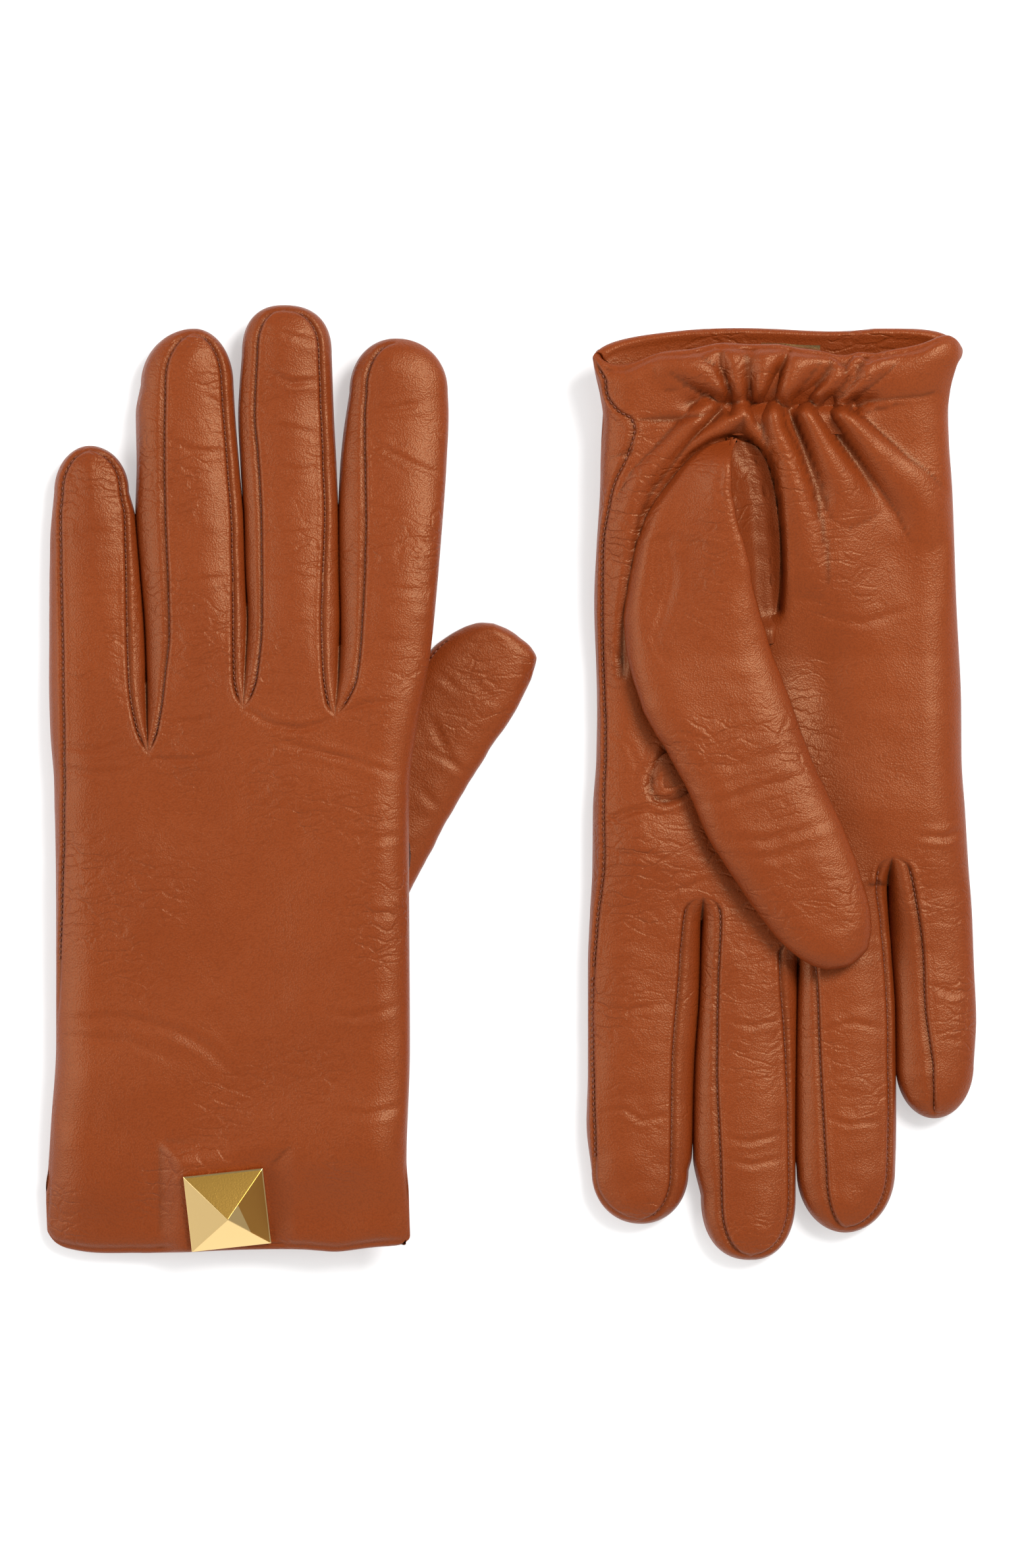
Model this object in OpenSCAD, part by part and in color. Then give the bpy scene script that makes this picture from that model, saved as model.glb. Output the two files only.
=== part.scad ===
// A pair of short, lined leather gloves with one square pyramid stud on each cuff.
//
// Each glove is drawn flat in its own frame: X runs from the little finger's side to the index
// finger's side, Y from the cuff to the fingertips, and Z from the palm, at 0, to the back.
// The left glove then lies palm down on its folded-under thumb, so it is tilted a little.
// The right glove is turned end for end and lies palm up, its cuff raised by the stud beneath it.
// Leather that crosses a knuckle is cut there, because the finger beyond it folds.

/* [Hand] */
// Distance from the middle of the pair to a cuff edge
cuff_y = 110.8; // [100:0.2:112]
// Distance from the middle of the pair to the little finger's outer side
side_x = 110.6; // [106:0.2:116]
// Thickness of a glove lying flat, palm to back
hand_h = 10.5; // [9.5:0.1:13]
// Width of the hand from the little finger's side to the index finger's side, at the cuff
cuff_w = 88.6; // [84:0.2:92]

/* [Fingers] */
// Width of the little finger
little_w = 20; // [18:0.2:22]
// Width of the ring finger
ring_w = 24.9; // [22:0.2:27]
// Width of the middle finger
middle_w = 23.4; // [21:0.2:26]
// Width of the index finger
index_w = 25.4; // [23:0.2:27]
// Clear gap between two fingers
finger_gap = 1; // [0.6:0.1:3]
// Gap in the leather where a finger folds at its middle knuckle
knuckle_gap = 3; // [2.6:0.1:5]

/* [Thumb] */
// Width of the thumb lying flat
thumb_w = 25; // [22:0.5:26]
// Thickness of the thumb lying flat
thumb_h = 6.8; // [6.4:0.1:7.2]
// Distance from the thumb's pivot to its tip
thumb_l = 61; // [54:0.5:64]
// Angle by which the left glove tilts over its folded-under thumb
tilt = 6.7; // [6.6:0.1:9]

/* [Cuff] */
// Depth of the hem that is turned in at the cuff
hem_d = 18; // [12:0.5:18]
// Width of the elastic that gathers the wrist on the palm side
elastic_w = 6; // [4:0.5:7]
// Slope of the right glove's wrist and cuff over the stud beneath it
cuff_slope = 0.122; // [0.12:0.002:0.16]

/* [Stud] */
// Side of the square stud
stud_w = 19; // [14:0.5:19]
// Height of the stud's upright rim
stud_rim_h = 1.5; // [1:0.1:2]
// Height of the pyramid above the rim
stud_peak_h = 6.5; // [4:0.1:6.6]

/* [Sheets] */
// Thickness of the leather
leather = 1.1; // [0.8:0.05:1.2]
// Thickness of the knitted lining
lining = 0.5; // [0.3:0.05:0.5]

/* [Hidden] */
GLOVES = ["left", "right"];
FINGERS = ["little", "ring", "middle", "index"];
HAND_NODES = ["back", "palm", "hem", "elastic", "lining", "stud", "stud_plate", "thumb_base",
              "thumb_quirk", "fourchette_ring_little", "fourchette_middle_ring",
              "fourchette_index_middle", "thumb", "thumb_lining"];
FINGER_NODES = ["back", "palm", "sides", "lining"];

LEATHER_COLOUR = [0.62, 0.31, 0.15];
FOURCHETTE_COLOUR = [0.68, 0.35, 0.16];
LINING_COLOUR = [0.45, 0.30, 0.20];
ELASTIC_COLOUR = [0.85, 0.80, 0.72];
GOLD_COLOUR = [0.85, 0.68, 0.35];

// Clearance between two sheets that lie on each other
clear = 0.05;
// Where each finger ends, little finger first
tip_y = [80, 107, 113.4, 105.2];
// Where each finger folds
knuckle_y = [46, 56, 58, 54];
// Radius of each fingertip's corners, seen from above
tip_r = [8.5, 11, 8.5, 11];
// Bottom of each slot between two fingers
crotch_y = [8, 19, 17];
// Lines between the fingers, from the little finger's outer side to the index finger's
line_x = [-side_x, -side_x + little_w, -side_x + little_w + ring_w,
          -side_x + little_w + ring_w + middle_w,
          -side_x + little_w + ring_w + middle_w + index_w];
// The index finger's side of the hand: at the cuff, at the thumb and below the finger
index_side = [[-side_x + cuff_w, -cuff_y], [-side_x + cuff_w, -30], [line_x[4] - 2, 30]];
// The cuff's rolled edge, the hem's inner facing and the sheets' room for the elastic
roll = 2.2;
facing = 0.8;
elastic_t = 0.8;
// Edges of the wrist elastic and of the lining, which starts where the hem ends
elastic_y = -cuff_y + hem_d + 1;
lining_y = -cuff_y + hem_d + 0.2;
// Where the right glove's wrist starts to rise towards the cuff
ramp_y = -30;
// Room that the lining keeps from the leather: beside it, on the palm and on the back
lining_side = leather + 0.25;
lining_low = leather + elastic_t + 3 * clear;
lining_high = hand_h - leather - 3 * clear;
// The oval opening in the palm that the thumb piece is sewn into, and the hole to the thumb
oval_at = [-45, -39];
oval_r = [17.5, 39];
passage_at = [[-39, -18], [-47, -14]];
passage_r = 8;
// Thumb pivots and directions in each glove's frame, as degrees from the fingers' direction
thumb_at = [[-35, -17], [-47.8, -11.5]];
thumb_turn = [-34, 27];
thumb_leather = 0.9;
thumb_lining_t = 0.3;
thumb_clear = 0.3;
// The small gusset beside the thumb: its centre and half its width and length
quirk_at = [-36.5, -4];
quirk_r = [4, 6];
// Where the studs sit, how they are turned, and their fixing posts
stud_at = [[-67.2, -100.7], [-66, -99.8]];
stud_turn = [5.5, 0];
post_r = 1.5;
post_x = 5;
plate_w = 14;
plate_t = 0.8;
// Steps in a quarter turn of a rounded outline
steps = 6;

// Points on an arc about a centre
function arc(at, r, from, to) =
    [for (i = [0:steps]) let (a = from + (to - from) * i / steps) at + r * [cos(a), sin(a)]];

// An outline with square corners at its start and rounded corners at its end
function capped(x0, x1, y0, y1, r) = concat(
    [[x0, y0], [x1, y0]], arc([x1 - r, y1 - r], r, 0, 90), arc([x0 + r, y1 - r], r, 90, 180));

// A strip with two round ends, from the pivot to length
function stadium(r, length) =
    concat(arc([0, length - r], r, 0, 90), arc([0, length - r], r, 90, 180),
           arc([0, 0], r, 180, 270), arc([0, 0], r, 270, 360));

function ellipse(at, r) = [for (i = [0:4 * steps - 1]) let (a = 90 * i / steps)
    at + [r[0] * cos(a), r[1] * sin(a)]];

function left_x(f, inset) = line_x[f] + (f == 0 ? 0 : finger_gap / 2) + inset;
function right_x(f, inset) = line_x[f + 1] - (f == 3 ? 0 : finger_gap / 2) - inset;

// The index finger's side of the hand up to the knuckle, moved in by inset
function hand_side(inset, y0, past) = [
    [index_side[0][0] - inset, y0],
    [index_side[1][0] - inset, index_side[1][1]],
    [index_side[2][0] - inset, index_side[2][1]],
    [line_x[4] - inset, knuckle_y[3] - knuckle_gap / 2 + past]];

// Plan of the hand with the first part of each finger, moved in by inset
function comb(inset, y0, past = 0) = concat(
    [[line_x[0] + inset, y0]],
    hand_side(inset, y0, past),
    [for (f = [3:-1:0]) let (top = knuckle_y[f] - knuckle_gap / 2 + past) each concat(
        f == 3 ? [] : [[right_x(f, inset), crotch_y[f] - inset], [right_x(f, inset), top]],
        f == 0 ? [[left_x(f, inset), top]]
               : [[left_x(f, inset), top], [left_x(f, inset), crotch_y[f - 1] - inset]])]);

// Plan of the leather round the slot between two fingers: one folded fourchette
function slot_wall(s) = let (low = crotch_y[s],
                             a = knuckle_y[s] - knuckle_gap / 2,
                             b = knuckle_y[s + 1] - knuckle_gap / 2,
                             x0 = right_x(s, 0),
                             x1 = left_x(s + 1, 0))
    [[x0, low], [x0, a], [x0 - leather, a], [x0 - leather, low - leather],
     [x1 + leather, low - leather], [x1 + leather, b], [x1, b], [x1, low]];

// Section of a sheet along the hand, from height z0 to z1, sloping at a raised cuff
function along(glove, z0, z1) =
    let (end = 140, low = -cuff_y - 2, drop = glove == 1 ? cuff_slope * (ramp_y - low) : 0)
    drop == 0 ? [[low, z0], [end, z0], [end, z1], [low, z1]]
              : [[low, z0 - drop], [ramp_y, z0], [end, z0], [end, z1], [ramp_y, z1],
                 [low, z1 - drop]];

module sheet(glove, z0, z1, plan) {
    intersection() {
        translate([0, 0, -60]) linear_extrude(120) polygon(plan);
        translate([-160, 0, 0]) rotate([90, 0, 90]) linear_extrude(200)
            polygon(along(glove, z0, z1));
    }
}

function rect(x0, x1, y0, y1) = [[x0, y0], [x1, y0], [x1, y1], [x0, y1]];

// Puts a glove drawn flat in its own frame where it lies
module lay(glove) {
    if (glove == 0)
        translate([-side_x + hand_h * sin(tilt), 0, 0]) rotate([0, -tilt, 0])
            translate([side_x, 0, 0]) children();
    else
        translate([0, 0, hand_h]) mirror([0, 0, 1]) rotate([0, 0, 180]) children();
}

// Puts children on the outside of the back at the stud, square to the leather there
module on_cuff(glove) {
    at = stud_at[glove];
    slope = glove == 1 ? cuff_slope : 0;
    translate([at[0], at[1], hand_h - slope * (ramp_y - at[1])])
        rotate([atan(slope), 0, 0]) rotate([0, 0, stud_turn[glove]]) children();
}

module post_holes(glove) {
    on_cuff(glove) for (side = [-1, 1]) translate([side * post_x, 0, -5])
        cylinder(h = 10, r = post_r + clear, $fn = 12);
}

module back(glove) {
    lip = -cuff_y + roll + clear;
    wall = concat(hand_side(0, lip, 0),
                  [for (i = [3:-1:0]) hand_side(leather, lip, 0)[i]]);
    color(LEATHER_COLOUR) lay(glove) difference() {
        union() {
            sheet(glove, hand_h - leather, hand_h, comb(0, lip));
            sheet(glove, leather + clear, hand_h - leather / 2, wall);
        }
        post_holes(glove);
    }
}

module palm(glove) {
    lip = -cuff_y + roll + clear;
    wall = rect(line_x[0], line_x[0] + leather, lip, knuckle_y[0] - knuckle_gap / 2);
    color(LEATHER_COLOUR) lay(glove) difference() {
        union() {
            sheet(glove, 0, leather, comb(0, lip));
            sheet(glove, leather / 2, hand_h - leather - clear, wall);
        }
        sheet(glove, -1, leather + 1, ellipse(oval_at, oval_r));
        translate([0, 0, -1]) linear_extrude(leather + 2) polygon(quirk_outline(quirk_r));
    }
}

function quirk_outline(r) = [quirk_at + [r[0], 0], quirk_at + [0, r[1]],
                             quirk_at - [r[0], 0], quirk_at - [0, r[1]]];

module thumb_base(glove) {
    hole = concat(arc(passage_at[glove], passage_r, 0, 180),
                  arc(passage_at[glove], passage_r, 180, 360));
    color(LEATHER_COLOUR) lay(glove) difference() {
        sheet(glove, 0, leather, ellipse(oval_at, oval_r - [clear, clear]));
        translate([0, 0, -1]) linear_extrude(leather + 2) polygon(hole);
        translate([0, 0, -1]) linear_extrude(leather + 2) polygon(quirk_outline(quirk_r));
    }
}

module thumb_quirk(glove) {
    color(FOURCHETTE_COLOUR) lay(glove) linear_extrude(leather)
        polygon(quirk_outline(quirk_r - [clear, clear] * 2));
}

module fourchette(glove, slot) {
    color(FOURCHETTE_COLOUR) lay(glove)
        sheet(glove, leather + clear, hand_h - leather - clear, slot_wall(slot));
}

module hem(glove) {
    lip = -cuff_y + roll;
    end = -cuff_y + hem_d;
    out = leather + clear;
    bore = out + facing;
    far = index_side[0][0];
    color(LEATHER_COLOUR) lay(glove) difference() {
        union() {
            sheet(glove, 0, hand_h, rect(line_x[0], far, -cuff_y, lip));
            sheet(glove, out, hand_h - out, rect(line_x[0] + out, far - out, lip - 1, end));
        }
        sheet(glove, bore, hand_h - bore,
              rect(line_x[0] + bore, far - bore, -cuff_y - 1, end + 1));
        post_holes(glove);
    }
}

module elastic(glove) {
    inset = 12;
    color(ELASTIC_COLOUR) lay(glove)
        sheet(glove, leather + clear, leather + clear + elastic_t,
              rect(line_x[0] + inset, index_side[0][0] - inset, elastic_y, elastic_y + elastic_w));
}

module hand_lining(glove) {
    hole = concat(arc(passage_at[glove], passage_r, 0, 180),
                  arc(passage_at[glove], passage_r, 180, 360));
    color(LINING_COLOUR) lay(glove) difference() {
        sheet(glove, lining_low, lining_high, comb(lining_side, lining_y));
        sheet(glove, lining_low + lining, lining_high - lining,
              comb(lining_side + lining, lining_y - 1, 5));
        translate([0, 0, lining_low - 1]) linear_extrude(2) polygon(hole);
    }
}

module stud(glove) {
    post_l = leather + facing + plate_t + 3 * clear;
    color(GOLD_COLOUR) lay(glove) on_cuff(glove) translate([0, 0, clear]) {
        translate([-stud_w / 2, -stud_w / 2, 0]) cube([stud_w, stud_w, stud_rim_h]);
        polyhedron(
            points = concat([for (c = rect(-stud_w / 2, stud_w / 2, -stud_w / 2, stud_w / 2))
                                [c[0], c[1], stud_rim_h]],
                            [[0, 0, stud_rim_h + stud_peak_h]]),
            faces = [[0, 1, 2, 3], [1, 0, 4], [2, 1, 4], [3, 2, 4], [0, 3, 4]]);
        for (side = [-1, 1]) translate([side * post_x, 0, -post_l])
            cylinder(h = post_l + stud_rim_h / 2, r = post_r, $fn = 12);
    }
}

module stud_plate(glove) {
    depth = leather + facing + 2 * clear;
    color(GOLD_COLOUR) lay(glove) on_cuff(glove) difference() {
        translate([-plate_w / 2, -plate_w / 2, -depth - plate_t])
            cube([plate_w, plate_w, plate_t]);
        for (side = [-1, 1]) translate([side * post_x, 0, -depth - plate_t - 1])
            cylinder(h = plate_t + 2, r = post_r + clear, $fn = 12);
    }
}

// Puts children where a thumb lies: the left one flat on the table, the right one on the palm
module lay_thumb(glove) {
    if (glove == 0)
        translate([thumb_at[0][0], thumb_at[0][1], 0]) rotate([0, 0, thumb_turn[0]]) children();
    else
        lay(glove) translate([thumb_at[1][0], thumb_at[1][1], -thumb_clear - thumb_h])
            rotate([0, 0, thumb_turn[1]]) children();
}

// A flat bag in a thumb's shape, open to the palm through a hole
module thumb_bag(inset, skin, hole) {
    length = thumb_l - inset;
    r = thumb_w / 2 - inset;
    difference() {
        translate([0, 0, inset]) linear_extrude(thumb_h - 2 * inset) polygon(stadium(r, length));
        translate([0, 0, inset + skin]) linear_extrude(thumb_h - 2 * inset - 2 * skin)
            polygon(stadium(r - skin, length - skin));
        translate([0, 0, thumb_h / 2]) linear_extrude(thumb_h) circle(r = hole, $fn = 12);
    }
}

module thumb(glove) {
    color(LEATHER_COLOUR) lay_thumb(glove) thumb_bag(0, thumb_leather, passage_r);
}

module thumb_lining(glove) {
    color(LINING_COLOUR) lay_thumb(glove)
        thumb_bag(thumb_leather + clear, thumb_lining_t, passage_r - 0.2);
}

// Plan of the finger beyond its knuckle, moved in by inset, its start moved down by before
function fingertip(f, inset, before = 0) =
    capped(left_x(f, inset), right_x(f, inset), knuckle_y[f] + knuckle_gap / 2 - before,
           tip_y[f] - inset, tip_r[f] - inset);

// The upright leather at a finger's edge between y0 and y1, from z0 to z1
module finger_rim(f, y0, y1, z0, z1) {
    difference() {
        translate([0, 0, z0]) linear_extrude(z1 - z0) polygon(fingertip(f, 0));
        translate([0, 0, z0 - 1]) linear_extrude(z1 - z0 + 2) polygon(fingertip(f, leather, 1));
        translate([-160, -160, z0 - 1]) cube([200, 160 + y0, z1 - z0 + 2]);
        translate([-160, y1, z0 - 1]) cube([200, 100, z1 - z0 + 2]);
    }
}

// The half of a finger's rim on one side of its middle
module rim_side(f, y0, y1, z0, z1, right) {
    middle = (line_x[f] + line_x[f + 1]) / 2;
    difference() {
        finger_rim(f, y0, y1, z0, z1);
        translate([right ? middle - 100 : middle, 0, -1]) cube([100, 200, hand_h + 2]);
    }
}

module finger_back(glove, f) {
    color(LEATHER_COLOUR) lay(glove) {
        translate([0, 0, hand_h - leather]) linear_extrude(leather) polygon(fingertip(f, 0));
        if (f == 3)
            rim_side(f, 0, tip_y[f] - tip_r[f], leather + clear, hand_h - leather / 2, true);
    }
}

module finger_palm(glove, f) {
    color(LEATHER_COLOUR) lay(glove) {
        linear_extrude(leather) polygon(fingertip(f, 0));
        finger_rim(f, tip_y[f] - tip_r[f] + clear, 150, leather / 2, hand_h - leather - clear);
        if (f == 0)
            rim_side(f, 0, tip_y[f] - tip_r[f] + 1, leather / 2, hand_h - leather - clear, false);
    }
}

module finger_sides(glove, f) {
    top = tip_y[f] - tip_r[f] - clear;
    color(FOURCHETTE_COLOUR) lay(glove) for (right = [false, true])
        if (!(f == 0 && !right) && !(f == 3 && right))
            rim_side(f, 0, top, leather + clear, hand_h - leather - clear, right);
}

module finger_lining(glove, f) {
    color(LINING_COLOUR) lay(glove) difference() {
        translate([0, 0, lining_low]) linear_extrude(lining_high - lining_low)
            polygon(fingertip(f, lining_side));
        translate([0, 0, lining_low + lining])
            linear_extrude(lining_high - lining_low - 2 * lining)
                polygon(fingertip(f, lining_side + lining, 1));
    }
}

module hand_part(glove, part) {
    if (part == "back") back(glove);
    if (part == "palm") palm(glove);
    if (part == "hem") hem(glove);
    if (part == "elastic") elastic(glove);
    if (part == "lining") hand_lining(glove);
    if (part == "stud") stud(glove);
    if (part == "stud_plate") stud_plate(glove);
    if (part == "thumb_base") thumb_base(glove);
    if (part == "thumb_quirk") thumb_quirk(glove);
    if (part == "fourchette_ring_little") fourchette(glove, 0);
    if (part == "fourchette_middle_ring") fourchette(glove, 1);
    if (part == "fourchette_index_middle") fourchette(glove, 2);
    if (part == "thumb") thumb(glove);
    if (part == "thumb_lining") thumb_lining(glove);
}

module finger_part(glove, f, part) {
    if (part == "back") finger_back(glove, f);
    if (part == "palm") finger_palm(glove, f);
    if (part == "sides") finger_sides(glove, f);
    if (part == "lining") finger_lining(glove, f);
}

for (g = [0, 1]) {
    for (part = HAND_NODES)
        hand_part(g, part);
    for (f = [0:3], part = FINGER_NODES)
        finger_part(g, f, part);
}
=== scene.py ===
"""Looks of a pair of short leather gloves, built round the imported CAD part.

Shapes are drawn in millimetres in a glove's plan, where u runs along the row's X and v runs from the
cuff to the fingertips, and are turned into metres of the row frame when a mesh is made.
A glove is one skin with a top and a bottom side that meet at the outline. Its height at a point
follows from how far that point is from the outline, so edges and fingertips are rounded.
The left glove lies with its back up. The right glove lies with its palm up.
"""

import math

import bpy
import numpy as np
from mathutils import Matrix, Vector


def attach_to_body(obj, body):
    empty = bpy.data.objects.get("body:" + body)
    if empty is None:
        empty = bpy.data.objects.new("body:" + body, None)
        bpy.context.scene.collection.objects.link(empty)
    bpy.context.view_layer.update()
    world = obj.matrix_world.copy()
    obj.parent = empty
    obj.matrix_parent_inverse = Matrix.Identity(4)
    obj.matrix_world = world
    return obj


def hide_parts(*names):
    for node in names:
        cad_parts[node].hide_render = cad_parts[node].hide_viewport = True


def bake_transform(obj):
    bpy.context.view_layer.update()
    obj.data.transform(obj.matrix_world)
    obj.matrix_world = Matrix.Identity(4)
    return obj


MM = 0.001
SEED = 7

# Thicknesses of the pieces; the hem's facing is its turned-in part
LEATHER = 1.0
THUMB_LEATHER = 0.9
FACING = 1.0
LINING = 0.5
THUMB_LINING = 0.3
ELASTIC = 0.6
# Depth of the turned-in hem
HEM = 18.0
# Height of a flat hand and of a flat finger, and where their widest level lies
HAND_H = 10.5
FINGER_H = 9.6
WAIST = 0.45
# Rows of the plan above this position belong to single fingers
FINGER_START = 42.0
# Half of the length over which leather bends at a knuckle
BEND = 8.5
# Positions along the hand between which the elastic lies
ELASTIC_BAND = (-91, -85)
# Faces across a finger's panel and across the strip beside a seam, on the upper and the lower side
PANEL = (30, 13)
STRIP = (7, 5)
# Stitches: the distance from one to the next, their length, height above the seam, and radius
PITCH = 1.35
STITCH_LENGTH, STITCH_LIFT, STITCH_RADIUS = 0.9, 0.4, 0.2
# What the heights in the tables of swellings and of creases are multiplied by
SWELL_STRENGTH = 1.4
CREASE_STRENGTH = 1.3

FINGERS = ["little", "ring", "middle", "index"]


def smoothstep(t):
    """0 below 0, 1 above 1, and smooth between."""
    t = np.clip(t, 0, 1)
    return t * t * (3 - 2 * t)


def through(points):
    """A smooth function through (position, value) pairs that doesn't overshoot."""
    x, y = np.array(sorted(points), float).T
    step = np.diff(x)
    rise = np.diff(y) / step
    slope = np.concatenate([rise[:1], np.zeros(len(rise) - 1), rise[-1:]])
    same = rise[:-1] * rise[1:] > 0
    low, high = rise[:-1][same], rise[1:][same]
    slope[1:-1][same] = 2 * low * high / (low + high)

    def value(at):
        at = np.asarray(at, float)
        i = np.clip(np.searchsorted(x, at) - 1, 0, len(step) - 1)
        t = np.clip((at - x[i]) / step[i], 0, 1)
        a = (1 + 2 * t) * (1 - t) ** 2 * y[i] + t**2 * (3 - 2 * t) * y[i + 1]
        b = step[i] * t * (1 - t) * ((1 - t) * slope[i] - t * slope[i + 1])
        return a + b

    return value


def noise(x, y, seed):
    """Smooth noise from -1 to 1 with a cell size of 1."""
    table = np.random.RandomState(SEED + seed).rand(64, 64) * 2 - 1
    i, j = np.floor(x).astype(int), np.floor(y).astype(int)
    s, t = smoothstep(x - i), smoothstep(y - j)
    near = table[i % 64, j % 64] * (1 - s) + table[(i + 1) % 64, j % 64] * s
    far = table[i % 64, (j + 1) % 64] * (1 - s) + table[(i + 1) % 64, (j + 1) % 64] * s
    return near * (1 - t) + far * t


def nearest(p, line, axes=2):
    """Distance from each point to a polyline, and the polyline's other columns at the nearest point.

    The first columns, as many as axes says, are the places of the polyline's points.
    """
    line = np.asarray(line, float)
    a, b = line[:-1], line[1:]
    along = b[:, :axes] - a[:, :axes]
    size = np.maximum((along**2).sum(1), 1e-9)
    best = np.full(len(p), 1e9)
    extra = np.zeros((len(p), line.shape[1] - axes))
    at_once = 4000
    for start in range(0, len(p), at_once):
        part = slice(start, start + at_once)
        offset = p[part, None, :] - a[None, :, :axes]
        t = np.clip((offset * along).sum(2) / size, 0, 1)
        d = ((offset - t[..., None] * along) ** 2).sum(2)
        i = d.argmin(1)
        k = np.arange(len(i))
        best[part] = np.sqrt(d[k, i])
        f = t[k, i][:, None]
        extra[part] = a[i, axes:] * (1 - f) + b[i, axes:] * f
    return best, extra


def plan_lengths(points):
    """Distance along a plan polyline from its start to each of its points."""
    return np.concatenate([[0], np.cumsum(np.hypot(*np.diff(points, axis=0).T))])


def with_length(points):
    """A polyline with a third column that runs from 0 to 1 along it."""
    points = np.array(points, float)
    run = plan_lengths(points)
    return np.column_stack([points, run / run[-1]])


def rounded(d, r):
    """0 at an edge and 1 at a distance r from it, as a rounded edge rises."""
    t = np.clip(d / r, 0, 1)
    return (1 - (1 - t) ** 2) ** 0.5


# ---------------------------------------------------------------- plans of the two gloves

# Each finger's outline, from the left of the plan to its right: edges are (v, u) pairs, a tip is
# (u, v, length of the rounding, squareness), and seams are (v, u) pairs on the side that faces up.
LEFT = dict(
    name="left",
    way=1,
    order=["little", "ring", "middle", "index"],
    knuckles=[46, 56, 58, 54],
    left=[
        [(-111, -110.6), (-99.4, -110.8), (-93, -110.2), (-80.6, -109.5), (-62, -108.3),
         (-30, -108.3), (0.6, -108.8), (13, -109.7), (25, -110), (57, -109.8), (69.5, -108.8)],
        [(7, -86), (16, -86.4), (25, -86.6), (36, -86.95), (50, -88.1), (63, -89.2), (76, -88.9),
         (88, -89.1), (95, -87.9)],
        [(18, -63.3), (25, -62.95), (38.6, -62.45), (50, -63), (63, -63.35), (75, -64.1),
         (88, -64.7), (94.4, -64.4), (102, -63.8)],
        [(16, -41.6), (25, -40.75), (38.6, -40.4), (50, -40.7), (63, -40.85), (75, -40.4),
         (82, -39.8), (93, -38.2)],
    ],
    right=[
        [(7, -86), (16, -86.4), (25, -86.8), (36, -87.25), (50, -88.3), (63, -89.4), (69.5, -91.1)],
        [(18, -63.3), (25, -63.05), (38.6, -62.65), (50, -63.2), (63, -63.65), (75, -64.7),
         (88, -65.8), (95, -66.2)],
        [(16, -41.6), (25, -40.95), (38.6, -40.6), (50, -40.9), (63, -41.1), (75, -41.6),
         (88, -42.3), (102, -42.8)],
        [(-111, -23.9), (-99.4, -24.2), (-90, -24.7), (-62, -23.9), (-17, -24.1), (-1, -24),
         (14, -22), (30, -19.2), (38.6, -18.2), (57, -16.6), (75.6, -15.3), (88, -14.8), (93, -15)],
    ],
    tips=[(-100.3, 80.5, 11, 2), (-75.4, 108.3, 13.3, 2), (-54.1, 113.8, 11.8, 2.4),
          (-27.4, 105.8, 12.8, 2.1)],
    crotch=[(-86, 7.1), (-63.3, 18), (-41.6, 16)],
    under_crotch=[17.5, 37, 27],
    saddle=[24, 43, 33],
    seam_left=[
        [(-111, -110.5), (-75, -108.7), (-43, -107.2), (0, -106.2), (38.6, -106.8), (63, -107.2),
         (69.5, -106.7)],
        [(7.1, -86), (13, -83.9), (25, -82.3), (36, -81.2), (63, -82.1), (75, -82.4), (95, -82.2)],
        [(18, -63.3), (21, -61.6), (25, -60.4), (38.6, -59.2), (63, -59.4), (75, -60), (88, -61),
         (102, -60.4)],
        [(16, -41.6), (19, -39.2), (25, -36.6), (38.6, -35.3), (63, -34.5), (88, -34.9),
         (93, -34.5)],
    ],
    seam_right=[
        [(7.1, -86), (13, -88.6), (25, -90.5), (36, -90.9), (63, -91.5), (69.5, -92.6)],
        [(18, -63.3), (21, -64.9), (25, -65.6), (38.6, -65.6), (63, -66.1), (75, -67),
         (88, -68), (95, -68.5)],
        [(16, -41.6), (19, -43.3), (25, -44.1), (38.6, -44.6), (63, -43.9), (75, -44.3),
         (88, -44.8), (102, -45.4)],
        None,
    ],
    end_top=[(-111, -105), (-110.1, -107.1), (-108.4, -108.8), (-106.4, -109.3), (-98.6, -110.3),
             (-89, -110.3), (-81.8, -110), (-57, -109.1), (-50.6, -109.1), (-42.5, -109.6),
             (-36.7, -109), (-30.9, -108.2), (-25.4, -107.9), (-23.8, -106.8)],
    end_under=[(-111, -105), (-110.1, -107), (-108.4, -108.4), (-98.6, -109.6), (-81.8, -109.3),
               (-50, -108.6), (-30.9, -107.6), (-25.4, -107.4), (-23.8, -106.8)],
)
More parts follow.
